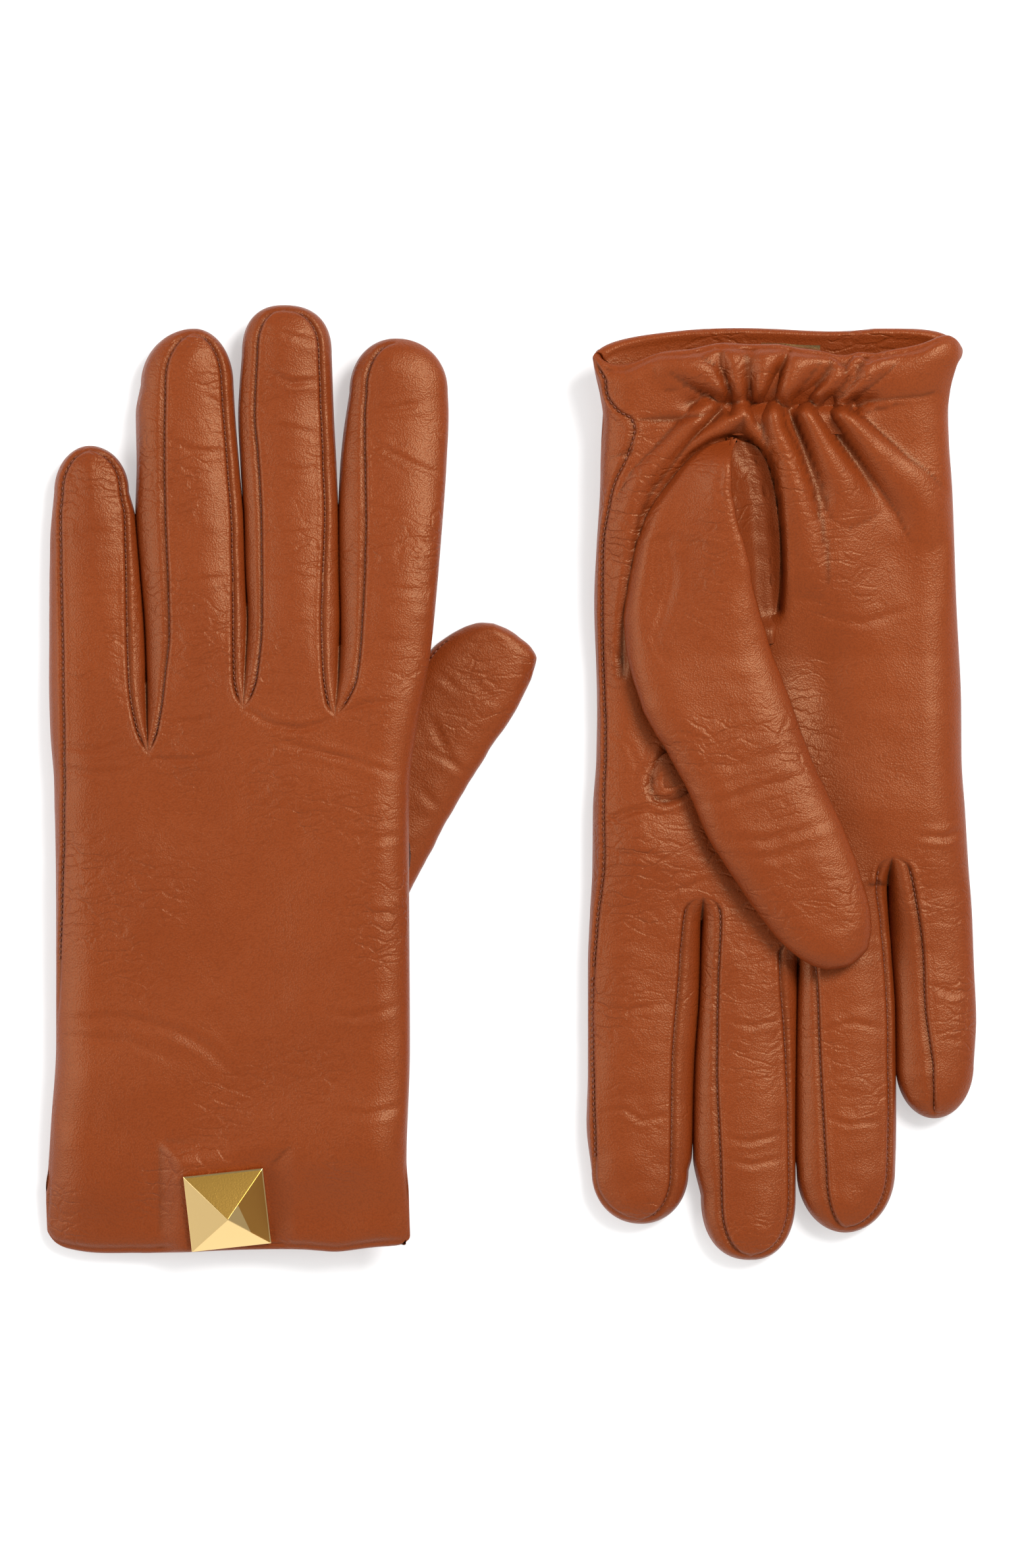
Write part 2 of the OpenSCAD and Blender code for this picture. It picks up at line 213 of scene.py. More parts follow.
RIGHT = dict(
    name="right",
    way=-1,
    order=["index", "middle", "ring", "little"],
    knuckles=[54, 58, 56, 46],
    left=[
        [(-101, 19.3), (-97.4, 20), (-92.4, 21.2), (-88, 21.8), (-81, 21.4), (-69, 21.1),
         (-56, 20.3), (-44, 19.8), (-19, 20.5), (-6, 20.3), (6, 19.5), (19, 19.4), (31, 18.8),
         (44, 18.3), (69, 18.3), (81, 18), (92, 19.2)],
        [(26.9, 45.7), (36, 45.3), (50, 44.9), (68, 43.7), (80, 43.4), (88.6, 43.5), (98, 45.4)],
        [(37, 68.4), (60, 68.05), (80, 67.85), (88, 67.9), (92, 68.2)],
        [(17.5, 90.4), (24, 89.75), (40, 90.7), (54, 91.6), (67, 91.75)],
    ],
    right=[
        [(26.9, 45.7), (36, 45.1), (50, 44.7), (68, 43.5), (80, 43.2), (88.6, 42.9), (92, 42.1)],
        [(37, 68.4), (60, 67.85), (80, 67.65), (98, 67.6)],
        [(17.5, 90.4), (24, 89.55), (40, 90.5), (54, 91.4), (81, 91.6), (92, 91.3)],
        [(-102.3, 107.1), (-99.9, 106.8), (-95.5, 105.2), (-91.2, 104), (-87.5, 103.6),
         (-69, 104.8), (-44, 105.9), (-19, 107.2), (-6, 107.3), (6, 108.1), (19, 108.9),
         (31, 109.8), (44, 110.3), (56, 110.8), (67, 110.2)],
    ],
    tips=[(31, 104.7, 12.7, 2.1), (57, 113.3, 15.3, 2.3), (79.6, 106.8, 14.8, 2),
          (100.8, 79.6, 12.7, 2)],
    crotch=[(45.7, 26.9), (68.4, 37), (90.4, 17.5)],
    under_crotch=[16, 18, 7],
    saddle=[33, 43, 24],
    seam_left=[
        [(-101, 19.5), (-99, 20.8), (-97.4, 22.2), (-95, 22.3), (-89.6, 25.2), (-87.2, 28.3),
         (-84.3, 29.1), (-80, 28.2), (-76, 26.7), (-72.3, 24.8), (-67.6, 23.4), (-53.5, 21.5),
         (-35, 21.6), (-10, 22.3), (6, 21.8), (17, 22), (32, 20.5), (53, 19.3), (92, 20)],
        [(26.9, 45.7), (27.4, 47.4), (28.4, 48.8), (31, 49.7), (48, 49), (68, 48.7), (88, 49.6),
         (98, 49.9)],
        [(37, 68.4), (37.6, 70), (39, 71.4), (46, 72.4), (68.3, 73.4), (92, 74.8)],
        [(17.5, 90.4), (18, 92.4), (19.5, 94.2), (24.2, 95.5), (41.2, 97.8), (52, 98.2),
         (67, 100.2)],
    ],
    seam_right=[
        [(26.9, 45.7), (27.4, 44), (28.3, 42.6), (30, 41.5), (48, 39.9), (68, 38.5), (92, 38.2)],
        [(37, 68.4), (37.5, 66.6), (38.4, 64.8), (40, 63.9), (61.5, 65.3), (81.8, 66.2), (98, 66.3)],
        [(17.5, 90.4), (18, 88.8), (19.5, 87.5), (22.9, 87), (34.4, 88.3), (54.7, 89.7),
         (81.8, 90), (92, 89.6)],
        None,
    ],
    end_top=[(19.3, -100.8), (21, -99.6), (23.4, -97.8), (26.4, -97.7), (31.1, -99.5),
             (34.8, -100.8), (41, -101.2), (44, -101.8), (49.9, -103.1), (56.4, -102.4),
             (63.5, -102.6), (67.5, -101.7), (70.6, -101.4), (75.6, -100.8), (79, -98.7),
             (80.5, -100.8), (81.9, -101.4), (84.2, -100.3), (90.4, -101.4), (96.6, -102.6),
             (102.7, -105), (105.3, -104.6), (107.1, -102.3)],
    end_under=[(19.3, -100.8), (20, -102.3), (21.8, -103.4), (24.3, -103.9), (28.6, -104.8),
               (39.7, -106), (51.8, -106.8), (68.8, -106.2), (78, -105.7), (87.3, -106.6),
               (101.5, -106.6), (105.2, -105.1), (107.1, -102.3)],
)
# Cuff positions of the lines between two fingers, as parts of the cuff's width
RAILS = [0.26, 0.52, 0.76]
# Rows nearer the cuff than this are bent to follow the cuff's uneven edge, which lies near CUFF_END
CUFF_START = -80.0
CUFF_END = {"left": -111.0, "right": -101.0}


# The two sides of a finger, and which way in u is inwards from each
SIDES = {"left": 1, "right": -1}


def slot_beside(side, k):
    """The slot on one side of finger k, or None at the glove's outer edges."""
    slot = k - 1 if side == "left" else k
    return slot if 0 <= slot < 3 else None


class Plan:
    """Where a glove's outline and seams run. inset draws the outline of a layer inside the leather."""

    def __init__(self, spec, inset=0.0):
        self.spec = spec
        self.inset = inset
        self.name, self.way = spec["name"], spec["way"]
        self.low = CUFF_END[self.name]
        self.edges = {side: [through(line) for line in spec[side]] for side in SIDES}
        self.seam = {
            side: [line and through(line) for line in spec["seam_" + side]] for side in SIDES
        }
        self.end = {True: through(spec["end_top"]), False: through(spec["end_under"])}
        self.forks = {True: [v for _, v in spec["crotch"]], False: list(spec["under_crotch"])}
        self.saddle = list(spec["saddle"])
        if inset:
            lowest = [min(a, b) for a, b in zip(self.forks[True], self.forks[False])]
            self.forks = {side: [v - 10 for v in lowest] for side in (True, False)}
            self.saddle = [v - 2 for v in lowest]

    def middle(self, k, v):
        """The line between fingers k and k + 1."""
        v = np.maximum(v, self.spec["crotch"][k][1])
        return (self.edges["right"][k](v) + self.edges["left"][k + 1](v)) / 2

    def raw_edge(self, side, k, v):
        """One edge of finger k without its rounded tip. Below the saddle, neighbours share a line."""
        sign = SIDES[side]
        edge = self.edges[side][k](v) + sign * self.inset
        fork = slot_beside(side, k)
        if fork is None:
            return edge
        middle = self.middle(fork, v)
        apart = smoothstep((v - self.saddle[fork]) / 6)
        half_gap = np.maximum(sign * (edge - middle) - 0.2 * (self.inset == 0), -0.08)
        return middle + sign * half_gap * apart

    def cap(self, k, v, inset):
        """1 along finger k, falling to 0 at its tip as a rounded end does."""
        _, tip, r, n = self.spec["tips"][k]
        t = np.clip((v - (tip - r)) / (r - inset), 0, 1)
        return (1 - t**n) ** (1 / n)

    def edge(self, side, k, v):
        """One edge of finger k, with its rounded tip."""
        u, tip, r, _ = self.spec["tips"][k]
        at_cap = self.raw_edge(side, k, np.minimum(v, tip - r))
        return u + (at_cap - u) * self.cap(k, v, self.inset)

    def fork_u(self, k, v, top):
        """The line between two fingers' columns below the slot between them."""
        fork_v = self.forks[top][k]
        low, high = self.edges["left"][0](self.low), self.edges["right"][3](self.low)
        at_cuff = low + RAILS[k] * (high - low)
        start = self.middle(k, np.array(fork_v))
        return start + (at_cuff - start) * np.clip((fork_v - v) / (fork_v - self.low), 0, 1)

    def flat_seam(self, side, k, v, top):
        """A seam of finger k without its rounded tip, or None where it runs on the edge itself."""
        fork = slot_beside(side, k)
        if self.inset:
            return None
        if top:
            table = self.seam[side][k]
            return table and table(v)
        if fork is None and side == "left":
            return None
        from_edge = 2.4 * smoothstep((v + 90) / 60)
        if fork is not None:
            from_edge = 3.4 * np.sqrt(smoothstep((v - self.forks[False][fork]) / 9))
        return self.raw_edge(side, k, v) + SIDES[side] * from_edge

    def bounds_of(self, k, v, top):
        """Left edge, left seam, right seam and right edge of finger k's columns at positions v."""
        u, tip, r, _ = self.spec["tips"][k]
        seam_inset = 1.3
        bounds = []
        for side in SIDES:
            edge = self.edge(side, k, v)
            flat = self.flat_seam(side, k, np.minimum(v, tip - r), top)
            seam = edge if flat is None else u + (flat - u) * self.cap(k, v, seam_inset)
            fork = slot_beside(side, k)
            if fork is not None:
                below = v <= self.forks[top][fork]
                line = self.fork_u(fork, v, top)
                edge, seam = np.where(below, line, edge), np.where(below, line, seam)
            bounds.append((edge, seam))
        (left, seam_l), (right, seam_r) = bounds
        return left, np.maximum(seam_l, left), np.minimum(seam_r, right), right

    def fill(self, fork, v, top):
        """How far the slot is filled at v: 1 at its closed end, 0 where the fingers part."""
        start, end = self.forks[top][fork], self.saddle[fork]
        t = np.clip((v - start) / (end - start), 0, 1)
        return (1 - t) ** 2 * (1 + t)

    def outline(self, top):
        """The edges that the surface falls to: polylines of u, v, how far filled, and radius."""
        lines = []
        for k in range(4):
            _, tip, r, _ = self.spec["tips"][k]
            turn = np.linspace(0, math.pi / 2, 40)
            high = tip - r + (r - self.inset) * np.sin(turn)
            for side in SIDES:
                fork = slot_beside(side, k)
                start = self.low - 3 if fork is None else self.forks[top][fork]
                v = np.concatenate([np.arange(start, tip - r, 1.2), high])
                edge = self.edge(side, k, v)
                radius = (9.5 if top else 5.0) + (1.6 if top else 0.3) * smoothstep((v + 10) / 50)
                radius = radius - 1.8 * smoothstep((v - tip + 6) / 6)
                filled = np.zeros_like(v)
                if fork is not None:
                    filled = self.fill(fork, v, top)
                    seam = self.bounds_of(k, v, top)[1 if side == "left" else 2]
                    tight = np.maximum(abs(seam - edge) * 1.15, 0.5)
                    open_up = smoothstep((v - start) / 26)
                    radius = tight + (np.maximum(radius, tight) - tight) * open_up
                lines.append(np.column_stack([edge, v, filled, radius]))
        return lines


# ---------------------------------------------------------------- heights

def base_height(name, u, v):
    """Height of the glove's lowest level above the table."""
    if name == "left":
        rise = 0.1175 * np.maximum(u + 109.4, 0)
        return rise * (1 - 0.62 * smoothstep((v - 34) / 60)) + 0.3
    return 0.122 * np.maximum(-30 - v, 0) + 0.2


def thickness(name, v):
    """Height of the glove from its lowest level to its highest."""
    body = HAND_H + (FINGER_H - HAND_H) * smoothstep((v - 10) / 30)
    if name == "left":
        return body - 4.6 * smoothstep((-84 - v) / 26)
    return body - 1.0 * smoothstep((-60 - v) / 25)


# The left stud's middle, its height above the glove's lowest level there, and its tilts in degrees
STUD_U, STUD_V, STUD_RISE = -67.2, -100.4, 7.8
STUD_PITCH, STUD_ROLL, STUD_TURN = 16, 3.2, 5.5
# The right stud's middle in the row frame, and its slope and turn in degrees
RIGHT_STUD = (66, 98.2, 8.35)
RIGHT_STUD_SLOPE, RIGHT_STUD_TURN = 7, 2.5
# Half of a stud's width, and how far its rim sinks into the leather
STUD_HALF = 9.5
STUD_SINK = 0.1


def stud_seat(u, v):
    """The plane that the left stud's plate holds flat, and how far the leather follows it."""
    across, along = u - STUD_U, v - STUD_V
    middle = base_height("left", np.array(STUD_U), np.array(STUD_V)) + STUD_RISE
    pitch, roll = math.tan(math.radians(STUD_PITCH)), math.tan(math.radians(STUD_ROLL))
    outside = np.maximum(np.maximum(np.abs(across), np.abs(along)) - STUD_HALF, 0)
    return middle + along * pitch - across * roll, 1 - smoothstep(outside / 7)


# Pleats of the right glove's gathered wrist: points along each, height, and half its width at its two
# ends. They stand out like tubes, and where two meet the higher one shows.
GATHER_TUBES = [
    ([(46.6, 89.4), (43.0, 85.2), (37.0, 78.4), (31.0, 72), (27.0, 64), (24.6, 54)], 2.9, 2.5, 3.4),
    ([(54.4, 88.8), (53.0, 86.6), (48.6, 83.6), (41.6, 80.2), (36, 75)], 2.6, 2.2, 1.9),
    ([(54.6, 88.6), (56.6, 85.4), (59.6, 81), (62, 76)], 2.4, 2.0, 1.7),
    ([(61.7, 88.2), (62.5, 83.4), (65.3, 77), (67.5, 69.6), (69.5, 58), (70, 44)], 3.9, 2.4, 5.5),
    ([(69.6, 88.0), (71.2, 84.6), (74.4, 78.5), (78.0, 72.3), (83, 62)], 3.7, 2.3, 6.5),
    ([(78.4, 87.4), (82.5, 82.8), (89.5, 75), (96.5, 67.6), (103, 58)], 3.7, 2.4, 7.5),
    ([(49.6, 92.6), (46.6, 95.6), (41.6, 98.2), (34, 98.6)], 2.4, 2.2, 6.0),
    ([(53.8, 91.6), (53.0, 95.6), (52.6, 99.6), (52.6, 104)], 2.4, 1.8, 3.2),
    ([(58.6, 92), (59.2, 95.4), (60.0, 99), (61, 104)], 2.9, 1.8, 3.4),
    ([(64.8, 91.6), (66.0, 94.6), (68.0, 98.4), (70.6, 103)], 2.9, 2.2, 4.0),
    ([(72.6, 91.4), (74.6, 93.4), (77.2, 96.4), (79.2, 100)], 2.6, 1.7, 2.4),
    ([(77.6, 90.8), (81.4, 93.6), (85.6, 97.6), (89.6, 102)], 2.9, 1.6, 3.4),
    ([(84, 90.6), (90, 93.6), (97, 96.6), (103, 98.6)], 1.4, 2.6, 7.0),
]
# Grooves between them: points, depth, and width at the two ends
GATHER_FOLDS = [
    ([(49.6, 88.2), (42.8, 81.2), (37.3, 75.6), (32.6, 68.3), (29, 59.7)], -1.0, 0.9, 1.2),
    ([(58.4, 88.6), (58, 85), (60.4, 80)], -1.6, 1.2, 1.2),
    ([(65.8, 88), (69.4, 80), (72.6, 72), (75, 64)], -1.6, 0.9, 2.6),
    ([(73.6, 88), (77.6, 81.7), (82.6, 75), (88.2, 67.3), (94, 60)], -2.0, 1.0, 3.6),
    ([(52, 88), (51.2, 93.7), (49.8, 98), (49.2, 103)], -2.4, 1.0, 0.9),
    ([(57.9, 88.6), (56.6, 92), (55.8, 96.5)], -1.6, 0.9, 0.9),
    ([(59.6, 88.8), (61.5, 92.6), (63.3, 97.6), (66.4, 103)], -2.6, 1.0, 0.9),
    ([(67.6, 89.4), (70, 92), (73.5, 95.5), (76, 100)], -2.2, 1.0, 0.9),
    ([(75, 89.4), (78.6, 92.2), (82, 95.8), (82.4, 100)], -2.2, 1.0, 0.9),
    ([(80.6, 88.6), (86, 91.5), (92, 94)], -1.2, 1.2, 2.0),
    ([(47.6, 91.2), (44, 93.2), (40, 95.4), (36.6, 97.4)], -1.2, 0.8, 0.9),
    ([(46.6, 87.4), (40, 86.2), (34.6, 86.2), (29.4, 86)], -1.2, 1.0, 0.8),
    ([(28.4, 78.4), (21.5, 76.8)], -0.6, 0.5, 0.5),
    ([(84.2, 90.6), (90.4, 91.2), (104, 92.7)], -0.8, 0.7, 0.6),
]
# The right thumb's oval seam and its gusset's seam, in the row's X and Y
OVAL_SEAM = [(26.2, 26), (26.4, 33), (26.8, 39.9), (28, 48.6), (29.8, 57.2), (32.3, 64),
             (37.3, 71.4), (42.8, 77.6), (47.1, 80.4), (50.5, 81.5), (53.5, 81.7), (56.6, 80.7),
             (59.4, 78.2), (61.5, 72.5), (62.7, 66.5), (63.4, 60), (63.7, 50), (63.2, 41)]
# Middle of the hollow beside the thumb's fold, which the gusset lines
GUSSET_MIDDLE = [(54.5, 79), (57.2, 74), (58.6, 66), (59.4, 58), (60.0, 50), (60.6, 42)]
QUIRK_SEAM = [(36.9, 8), (33.9, 3), (33.2, -0.6), (34.4, -3.3), (36.8, -4.1), (39.6, -3), (42.5, -1.6)]
# Broad dents and swellings: centre, radii and height
RIGHT_SWELLS = [
    ((93, 58), (12, 16), -1.3), ((78, 52), (8, 14), 1.0), ((74, 24), (7, 16), -1.4),
    ((97, 10), (12, 20), 0.9), ((33, -14), (8, 10), 1.0), ((88, -5), (14, 9), 0.6),
    ((100, 30), (10, 10), 0.4), ((48, 22), (14, 14), -1.5), ((56, -14), (9, 12), -0.8),
]
LEFT_SWELLS = [
    ((-88, -28), (14, 16), 0.8), ((-60, -40), (12, 26), -0.7), ((-38, -22), (14, 18), 0.5),
    ((-90, -70), (14, 10), 0.9), ((-62, -72), (14, 10), -0.4), ((-36, -84), (12, 10), 0.6),
    ((-74, -6), (12, 8), -0.5), ((-50, 0), (14, 8), 0.5), ((-98, -100), (10, 8), 0.6),
    ((-45, -101), (12, 7), -0.6),
]


def fold(p, points, height, start, end):
    """A ridge, or a groove if height is negative, that fades and changes its width along its line."""
    d, along = nearest(p, with_length(points))
    t = along[:, 0]
    width = start + (end - start) * t
    return height * (1 - t) ** 0.6 * np.exp(-((d / width) ** 2))


def tube(p, points, height, start, end):
    """A pleat with a round cross-section, a round beginning and a faded end."""
    d, along = nearest(p, with_length(points))
    t = along[:, 0]
    width = start + (end - start) * t
    round_top = np.maximum(1 - (d / width) ** 2, 0) ** 0.7
    soft = (1 - smoothstep(d / (1.6 * width))) * 0.25
    return height * (1 - t) ** 0.7 * (0.75 * round_top + soft)


def swell(p, swells):
    """Sum of all broad dents and swellings at each point."""
    total = 0
    for at, r, height in swells:
        total = total + SWELL_STRENGTH * height * np.exp(-(((p - at) / r) ** 2).sum(1))
    return total


def top_relief(name, u, v):
    """Large folds and dents of the side that faces up."""
    shape = u.shape
    way = 1 if name == "left" else -1
    p = np.column_stack([u.ravel(), way * v.ravel()])
    if name == "left":
        dz = swell(p, LEFT_SWELLS)
        dz += 0.35 * noise(p[:, 0] / 19 + 3, p[:, 1] / 14, 1)
    else:
        dz = swell(p, RIGHT_SWELLS)
        dz += 0.3 * noise(p[:, 0] / 17, p[:, 1] / 15 + 5, 2)
        across = smoothstep((p[:, 0] - 38) / 8) * smoothstep((90 - p[:, 0]) / 9)
        dz -= 2.4 * across * np.exp(-(((p[:, 1] - 90.2) / 2.2) ** 2))
        dz += 1.0 * smoothstep((p[:, 1] - 92) / 9) * smoothstep((p[:, 0] - 28) / 12)
        d, _ = nearest(p, GUSSET_MIDDLE)
        dz -= 3.4 * (1 - smoothstep((d - 1.0) / 5.5))
        pleats = np.zeros(len(p))
        for line, height, start, end in GATHER_TUBES:
            pleats = np.maximum(pleats, tube(p, line, height, start, end))
        dz += pleats
        for line, height, start, end in GATHER_FOLDS:
            dz += fold(p, line, height, start, end)
    return dz.reshape(shape)


# Creases of the side that faces up: points in the row's X and Y, depth and width
LEFT_CREASES = [
    ([(-82, 82), (-76, 79), (-67, 78.6)], 0.3, 0.6), ([(-81, 79), (-74, 77)], 0.2, 0.5),
    ([(-73, 92), (-66.6, 89.4)], 0.2, 0.5), ([(-59.5, 98.5), (-52, 95), (-45.8, 95.5)], 0.5, 0.6),
    ([(-59, 108), (-46, 104.6)], 0.2, 0.6), ([(-59.3, 85.5), (-45.4, 83)], 0.25, 0.6),
    ([(-59, 76), (-50, 74), (-45, 75)], 0.2, 0.6), ([(-34, 89), (-28, 88.6), (-21, 90)], 0.3, 0.6),
    ([(-34, 81.3), (-24, 76), (-16, 72.6)], 0.35, 0.6), ([(-33.5, 78.4), (-24, 73.6)], 0.25, 0.5),
    ([(-34, 65.5), (-26, 64)], 0.2, 0.6), ([(-82, 47), (-67, 49)], 0.18, 0.6),
    ([(-59, 50), (-46, 48.6)], 0.18, 0.6), ([(-106, 44), (-93, 45)], 0.18, 0.6),
    ([(-106, 60), (-93, 59.4)], 0.16, 0.6), ([(-34, 47), (-20, 45)], 0.2, 0.6),
    ([(-63.3, 17.6), (-56, 14), (-49.6, 12.8), (-41.8, 15.4)], 0.45, 0.7),
    ([(-55.4, 10), (-40, 6.4), (-27.5, 2.5)], 0.3, 0.7),
    ([(-41, 16.4), (-34, 19), (-27.5, 19.6)], 0.3, 0.7),
    ([(-80.6, 14.2), (-69.7, 15.4)], 0.2, 0.7), ([(-85.6, 6), (-76, 5.6), (-70, 7)], 0.3, 0.7),
    ([(-107, 4), (-99, 2.5), (-90, 3)], 0.25, 0.7), ([(-106, 9), (-98, 8), (-92, 9.4)], 0.2, 0.7),
    ([(-106, -56), (-92, -55), (-80, -58), (-72, -62), (-66, -68)], 0.35, 1.0),
    ([(-106, -60), (-90, -61), (-80, -65)], 0.25, 0.9), ([(-26, -52), (-36, -55), (-44, -54)], 0.2, 0.8),
    ([(-25, -76), (-34, -78), (-42, -77)], 0.2, 0.8), ([(-25, -12), (-33, -13), (-40, -11)], 0.2, 0.8),
    ([(-25, -30), (-31, -31), (-38, -29)], 0.2, 0.8),
]
RIGHT_CREASES = [
    ([(22.5, -9.4), (27, -7), (33, -5.4)], 0.35, 0.7), ([(24, -16.6), (32, -16.8), (37, -18)], 0.2, 0.7),
    ([(108, -10.8), (103, -12.6), (97, -12.4)], 0.3, 0.7), ([(23, 13), (28, 9), (30, 4)], 0.2, 0.6),
    ([(23, 32), (26, 30), (28, 27)], 0.2, 0.6), ([(21, -78), (27, -77), (31, -80), (37, -78.6)], 0.3, 0.5),
    ([(51, -84), (57, -85), (64, -83)], 0.25, 0.5), ([(50.6, -89), (57, -90.4), (65, -88.6)], 0.2, 0.5),
    ([(74.6, -79), (80, -80.8), (88, -80)], 0.25, 0.5), ([(20, -52), (27, -54), (36, -52)], 0.2, 0.6),
    ([(51, -56), (57, -57.5), (64, -56)], 0.2, 0.6), ([(75, -58), (81, -56.6), (88, -58)], 0.2, 0.6),
    ([(100.6, -48), (105, -50), (110, -49)], 0.25, 0.6), ([(34, 52), (40, 55), (47, 54)], 0.1, 0.6),
    ([(48, -22), (43, -24), (36, -26)], 0.15, 0.6), ([(72, 40), (84, 38), (96, 42)], 0.15, 0.8),
]


def crease(p, points, depth, width):
    """A sharp crease with a soft lip beside it, fading towards both ends."""
    d, along = nearest(p, with_length(points))
    wobble = 1 + 0.5 * noise(p[:, 0] / 2.2, p[:, 1] / 2.2, 11)
    fade = np.sin(math.pi * np.clip(along[:, 0], 0.02, 0.98)) ** 0.6
    groove = np.exp(-((d / (width * wobble)) ** 2))
    lip = 0.45 * np.exp(-(((d - 2.4 * width) / (1.2 * width)) ** 2))
    return depth * CREASE_STRENGTH * fade * (lip - groove)


# ---------------------------------------------------------------- skins

def sum_at_points(faces, values, count):
    """For each of count points, the sum of the values of the faces round it."""
    total = np.zeros((count, values.shape[1]))
    for i in range(4):
        for axis in range(values.shape[1]):
            total[:, axis] += np.bincount(faces[:, i], values[:, axis], count)
    return total


def unit(vectors):
    """Each vector with a length of 1."""
    return vectors / np.maximum(np.linalg.norm(vectors, axis=1), 1e-9)[:, None]


class Skin:
    """Quad grids in millimetres of the row frame, welded where their points coincide."""

    def __init__(self):
        self.points, self.faces, self.labels, self.names = [], [], [], []
        self.count = 0

    def code(self, name):
        """The number that stands for a label."""
        if name not in self.names:
            self.names.append(name)
        return self.names.index(name)

    def grid(self, points, label, flip=False):
        """Adds rows x columns points; label is a name or an array of names, one a face."""
        rows, columns = points.shape[:2]
        index = self.count + np.arange(rows * columns).reshape(rows, columns)
        self.points.append(points.reshape(-1, 3))
        self.count += rows * columns
        quads = np.stack([index[:-1, :-1], index[:-1, 1:], index[1:, 1:], index[1:, :-1]], 2)
        quads = quads.reshape(-1, 4)
        self.faces.append(quads[:, ::-1] if flip else quads)
        if isinstance(label, str):
            self.labels.append(np.full(len(quads), self.code(label)))
        else:
            codes = {name: self.code(name) for name in np.unique(label)}
            self.labels.append(np.vectorize(codes.get)(label).ravel())
        return index

    def weld(self):
        """Joins coincident points and drops faces without area. Returns where each point went."""
        points = np.vstack(self.points)
        _, first, inverse = np.unique(
            np.round(points, 4), axis=0, return_index=True, return_inverse=True
        )
        inverse = inverse.ravel()
        self.v = points[first]
        self.f = inverse[np.vstack(self.faces)]
        self.l = np.concatenate(self.labels)
        different = np.array([len(set(face)) for face in self.f.tolist()])
        self.f, self.l = self.f[different > 2], self.l[different > 2]
        return inverse

    def normals(self):
        """The direction out of the skin at each point."""
        a, b, c, d = (self.v[self.f[:, i]] for i in range(4))
        return unit(sum_at_points(self.f, np.cross(c - a, d - b), len(self.v)))


def steady(skin, normals, rounds=3):
    """Normals averaged with their neighbours, so the inside of a thick sheet never turns over."""
    for _ in range(rounds):
        mean = sum(normals[skin.f[:, i]] for i in range(4))
        normals = unit(sum_at_points(skin.f, mean, len(normals)))
    return normals


def hollow(skin, normals):
    """0 on flat or rounded leather, up to 1 in sharp hollows."""
    centre = sum(skin.v[skin.f[:, i]] for i in range(4)) / 4
    total = sum_at_points(skin.f, centre, len(skin.v))
    count = np.bincount(skin.f.ravel(), minlength=len(skin.v))
    depth = ((total / np.maximum(count, 1)[:, None] - skin.v) * normals).sum(1)
    return smoothstep((depth - 0.012) / 0.07)


def loop_edges(faces):
    """Directed edges of faces that no other face shares."""
    edges = np.vstack([np.column_stack([faces[:, i], faces[:, (i + 1) % 4]]) for i in range(4)])
    edges = edges[edges[:, 0] != edges[:, 1]]
    known = set(map(tuple, edges.tolist()))
    return [(a, b) for a, b in known if (b, a) not in known]


def make_mesh(name, points, faces, normals=None, painted_shade=None, material=None, smooth=True):
    """A mesh object from millimetre points; faces may repeat a corner where they are triangles."""
    clean = [list(dict.fromkeys(face)) for face in faces]
    mesh = bpy.data.meshes.new(name)
    mesh.from_pydata((np.asarray(points) * MM).tolist(), [], [face for face in clean if len(face) > 2])
    mesh.validate(clean_customdata=False)
    if smooth:
        mesh.polygons.foreach_set("use_smooth", [True] * len(mesh.polygons))
    # A point attribute of painted shade, towards which the leather's colour darkens
    shade = mesh.attributes.new("painted_shade", "FLOAT", "POINT")
    shade.data.foreach_set("value", np.zeros(len(points)) if painted_shade is None else painted_shade)
    if normals is not None:
        mesh.normals_split_custom_set_from_vertices(np.asarray(normals).tolist())
    obj = bpy.data.objects.new(name, mesh)
    bpy.context.scene.collection.objects.link(obj)
    if material:
        mesh.materials.append(material)
    return obj


def thick_piece(name, skin, normals, painted_shade, label, thickness_mm, material):
    """The faces of one label as a sheet of real thickness that grows inwards."""
    faces = skin.f[skin.l == skin.names.index(label)]
    used, local = np.unique(faces, return_inverse=True)
    local = local.reshape(faces.shape)
    outer, n = skin.v[used], normals[used]
    inward = steady(skin, normals)[used] * thickness_mm
    count = len(used)
    rim = [[b, a, a + count, b + count] for a, b in loop_edges(local)]
    all_faces = local.tolist() + (local[:, ::-1] + count).tolist() + rim
    points = np.vstack([outer, outer - inward])
    shade = np.concatenate([painted_shade[used], painted_shade[used]])
    return make_mesh(name, points, all_faces, np.vstack([n, -n]), shade, material)


def spread(count, crowd):
    """Positions from 0 to 1, crowded towards both ends."""
    t = np.linspace(0, 1, count + 1)
    return (1 - crowd) * t + crowd * (0.5 - 0.5 * np.cos(math.pi * t))


def row_positions(plan, step):
    """Positions of the rows along the hand, closer together at the bottoms of the slots."""
    close = plan.forks[True] + plan.forks[False]
    rows = [plan.low]
    while rows[-1] < FINGER_START - 0.3:
        v = rows[-1]
        gap = min(abs(v + 0.5 - c) for c in close)
        rows.append(v + min(step, max(0.3 * step, 0.14 * gap * step / 0.75 + 0.22)))
    rows[-1] = FINGER_START
    return np.array(rows)


def tip_rows(plan, k, step):
    """Positions of the rows along finger k, closer together in its rounded tip."""
    _, tip, r, _ = plan.spec["tips"][k]
    straight = np.linspace(FINGER_START, tip - r, max(int((tip - r - FINGER_START) / step), 3))
    turn = np.linspace(0, math.pi / 2, int(26 * 0.75 / step) + 4)
    return np.concatenate([straight, (tip - r + (r - plan.inset) * np.sin(turn))[1:]])


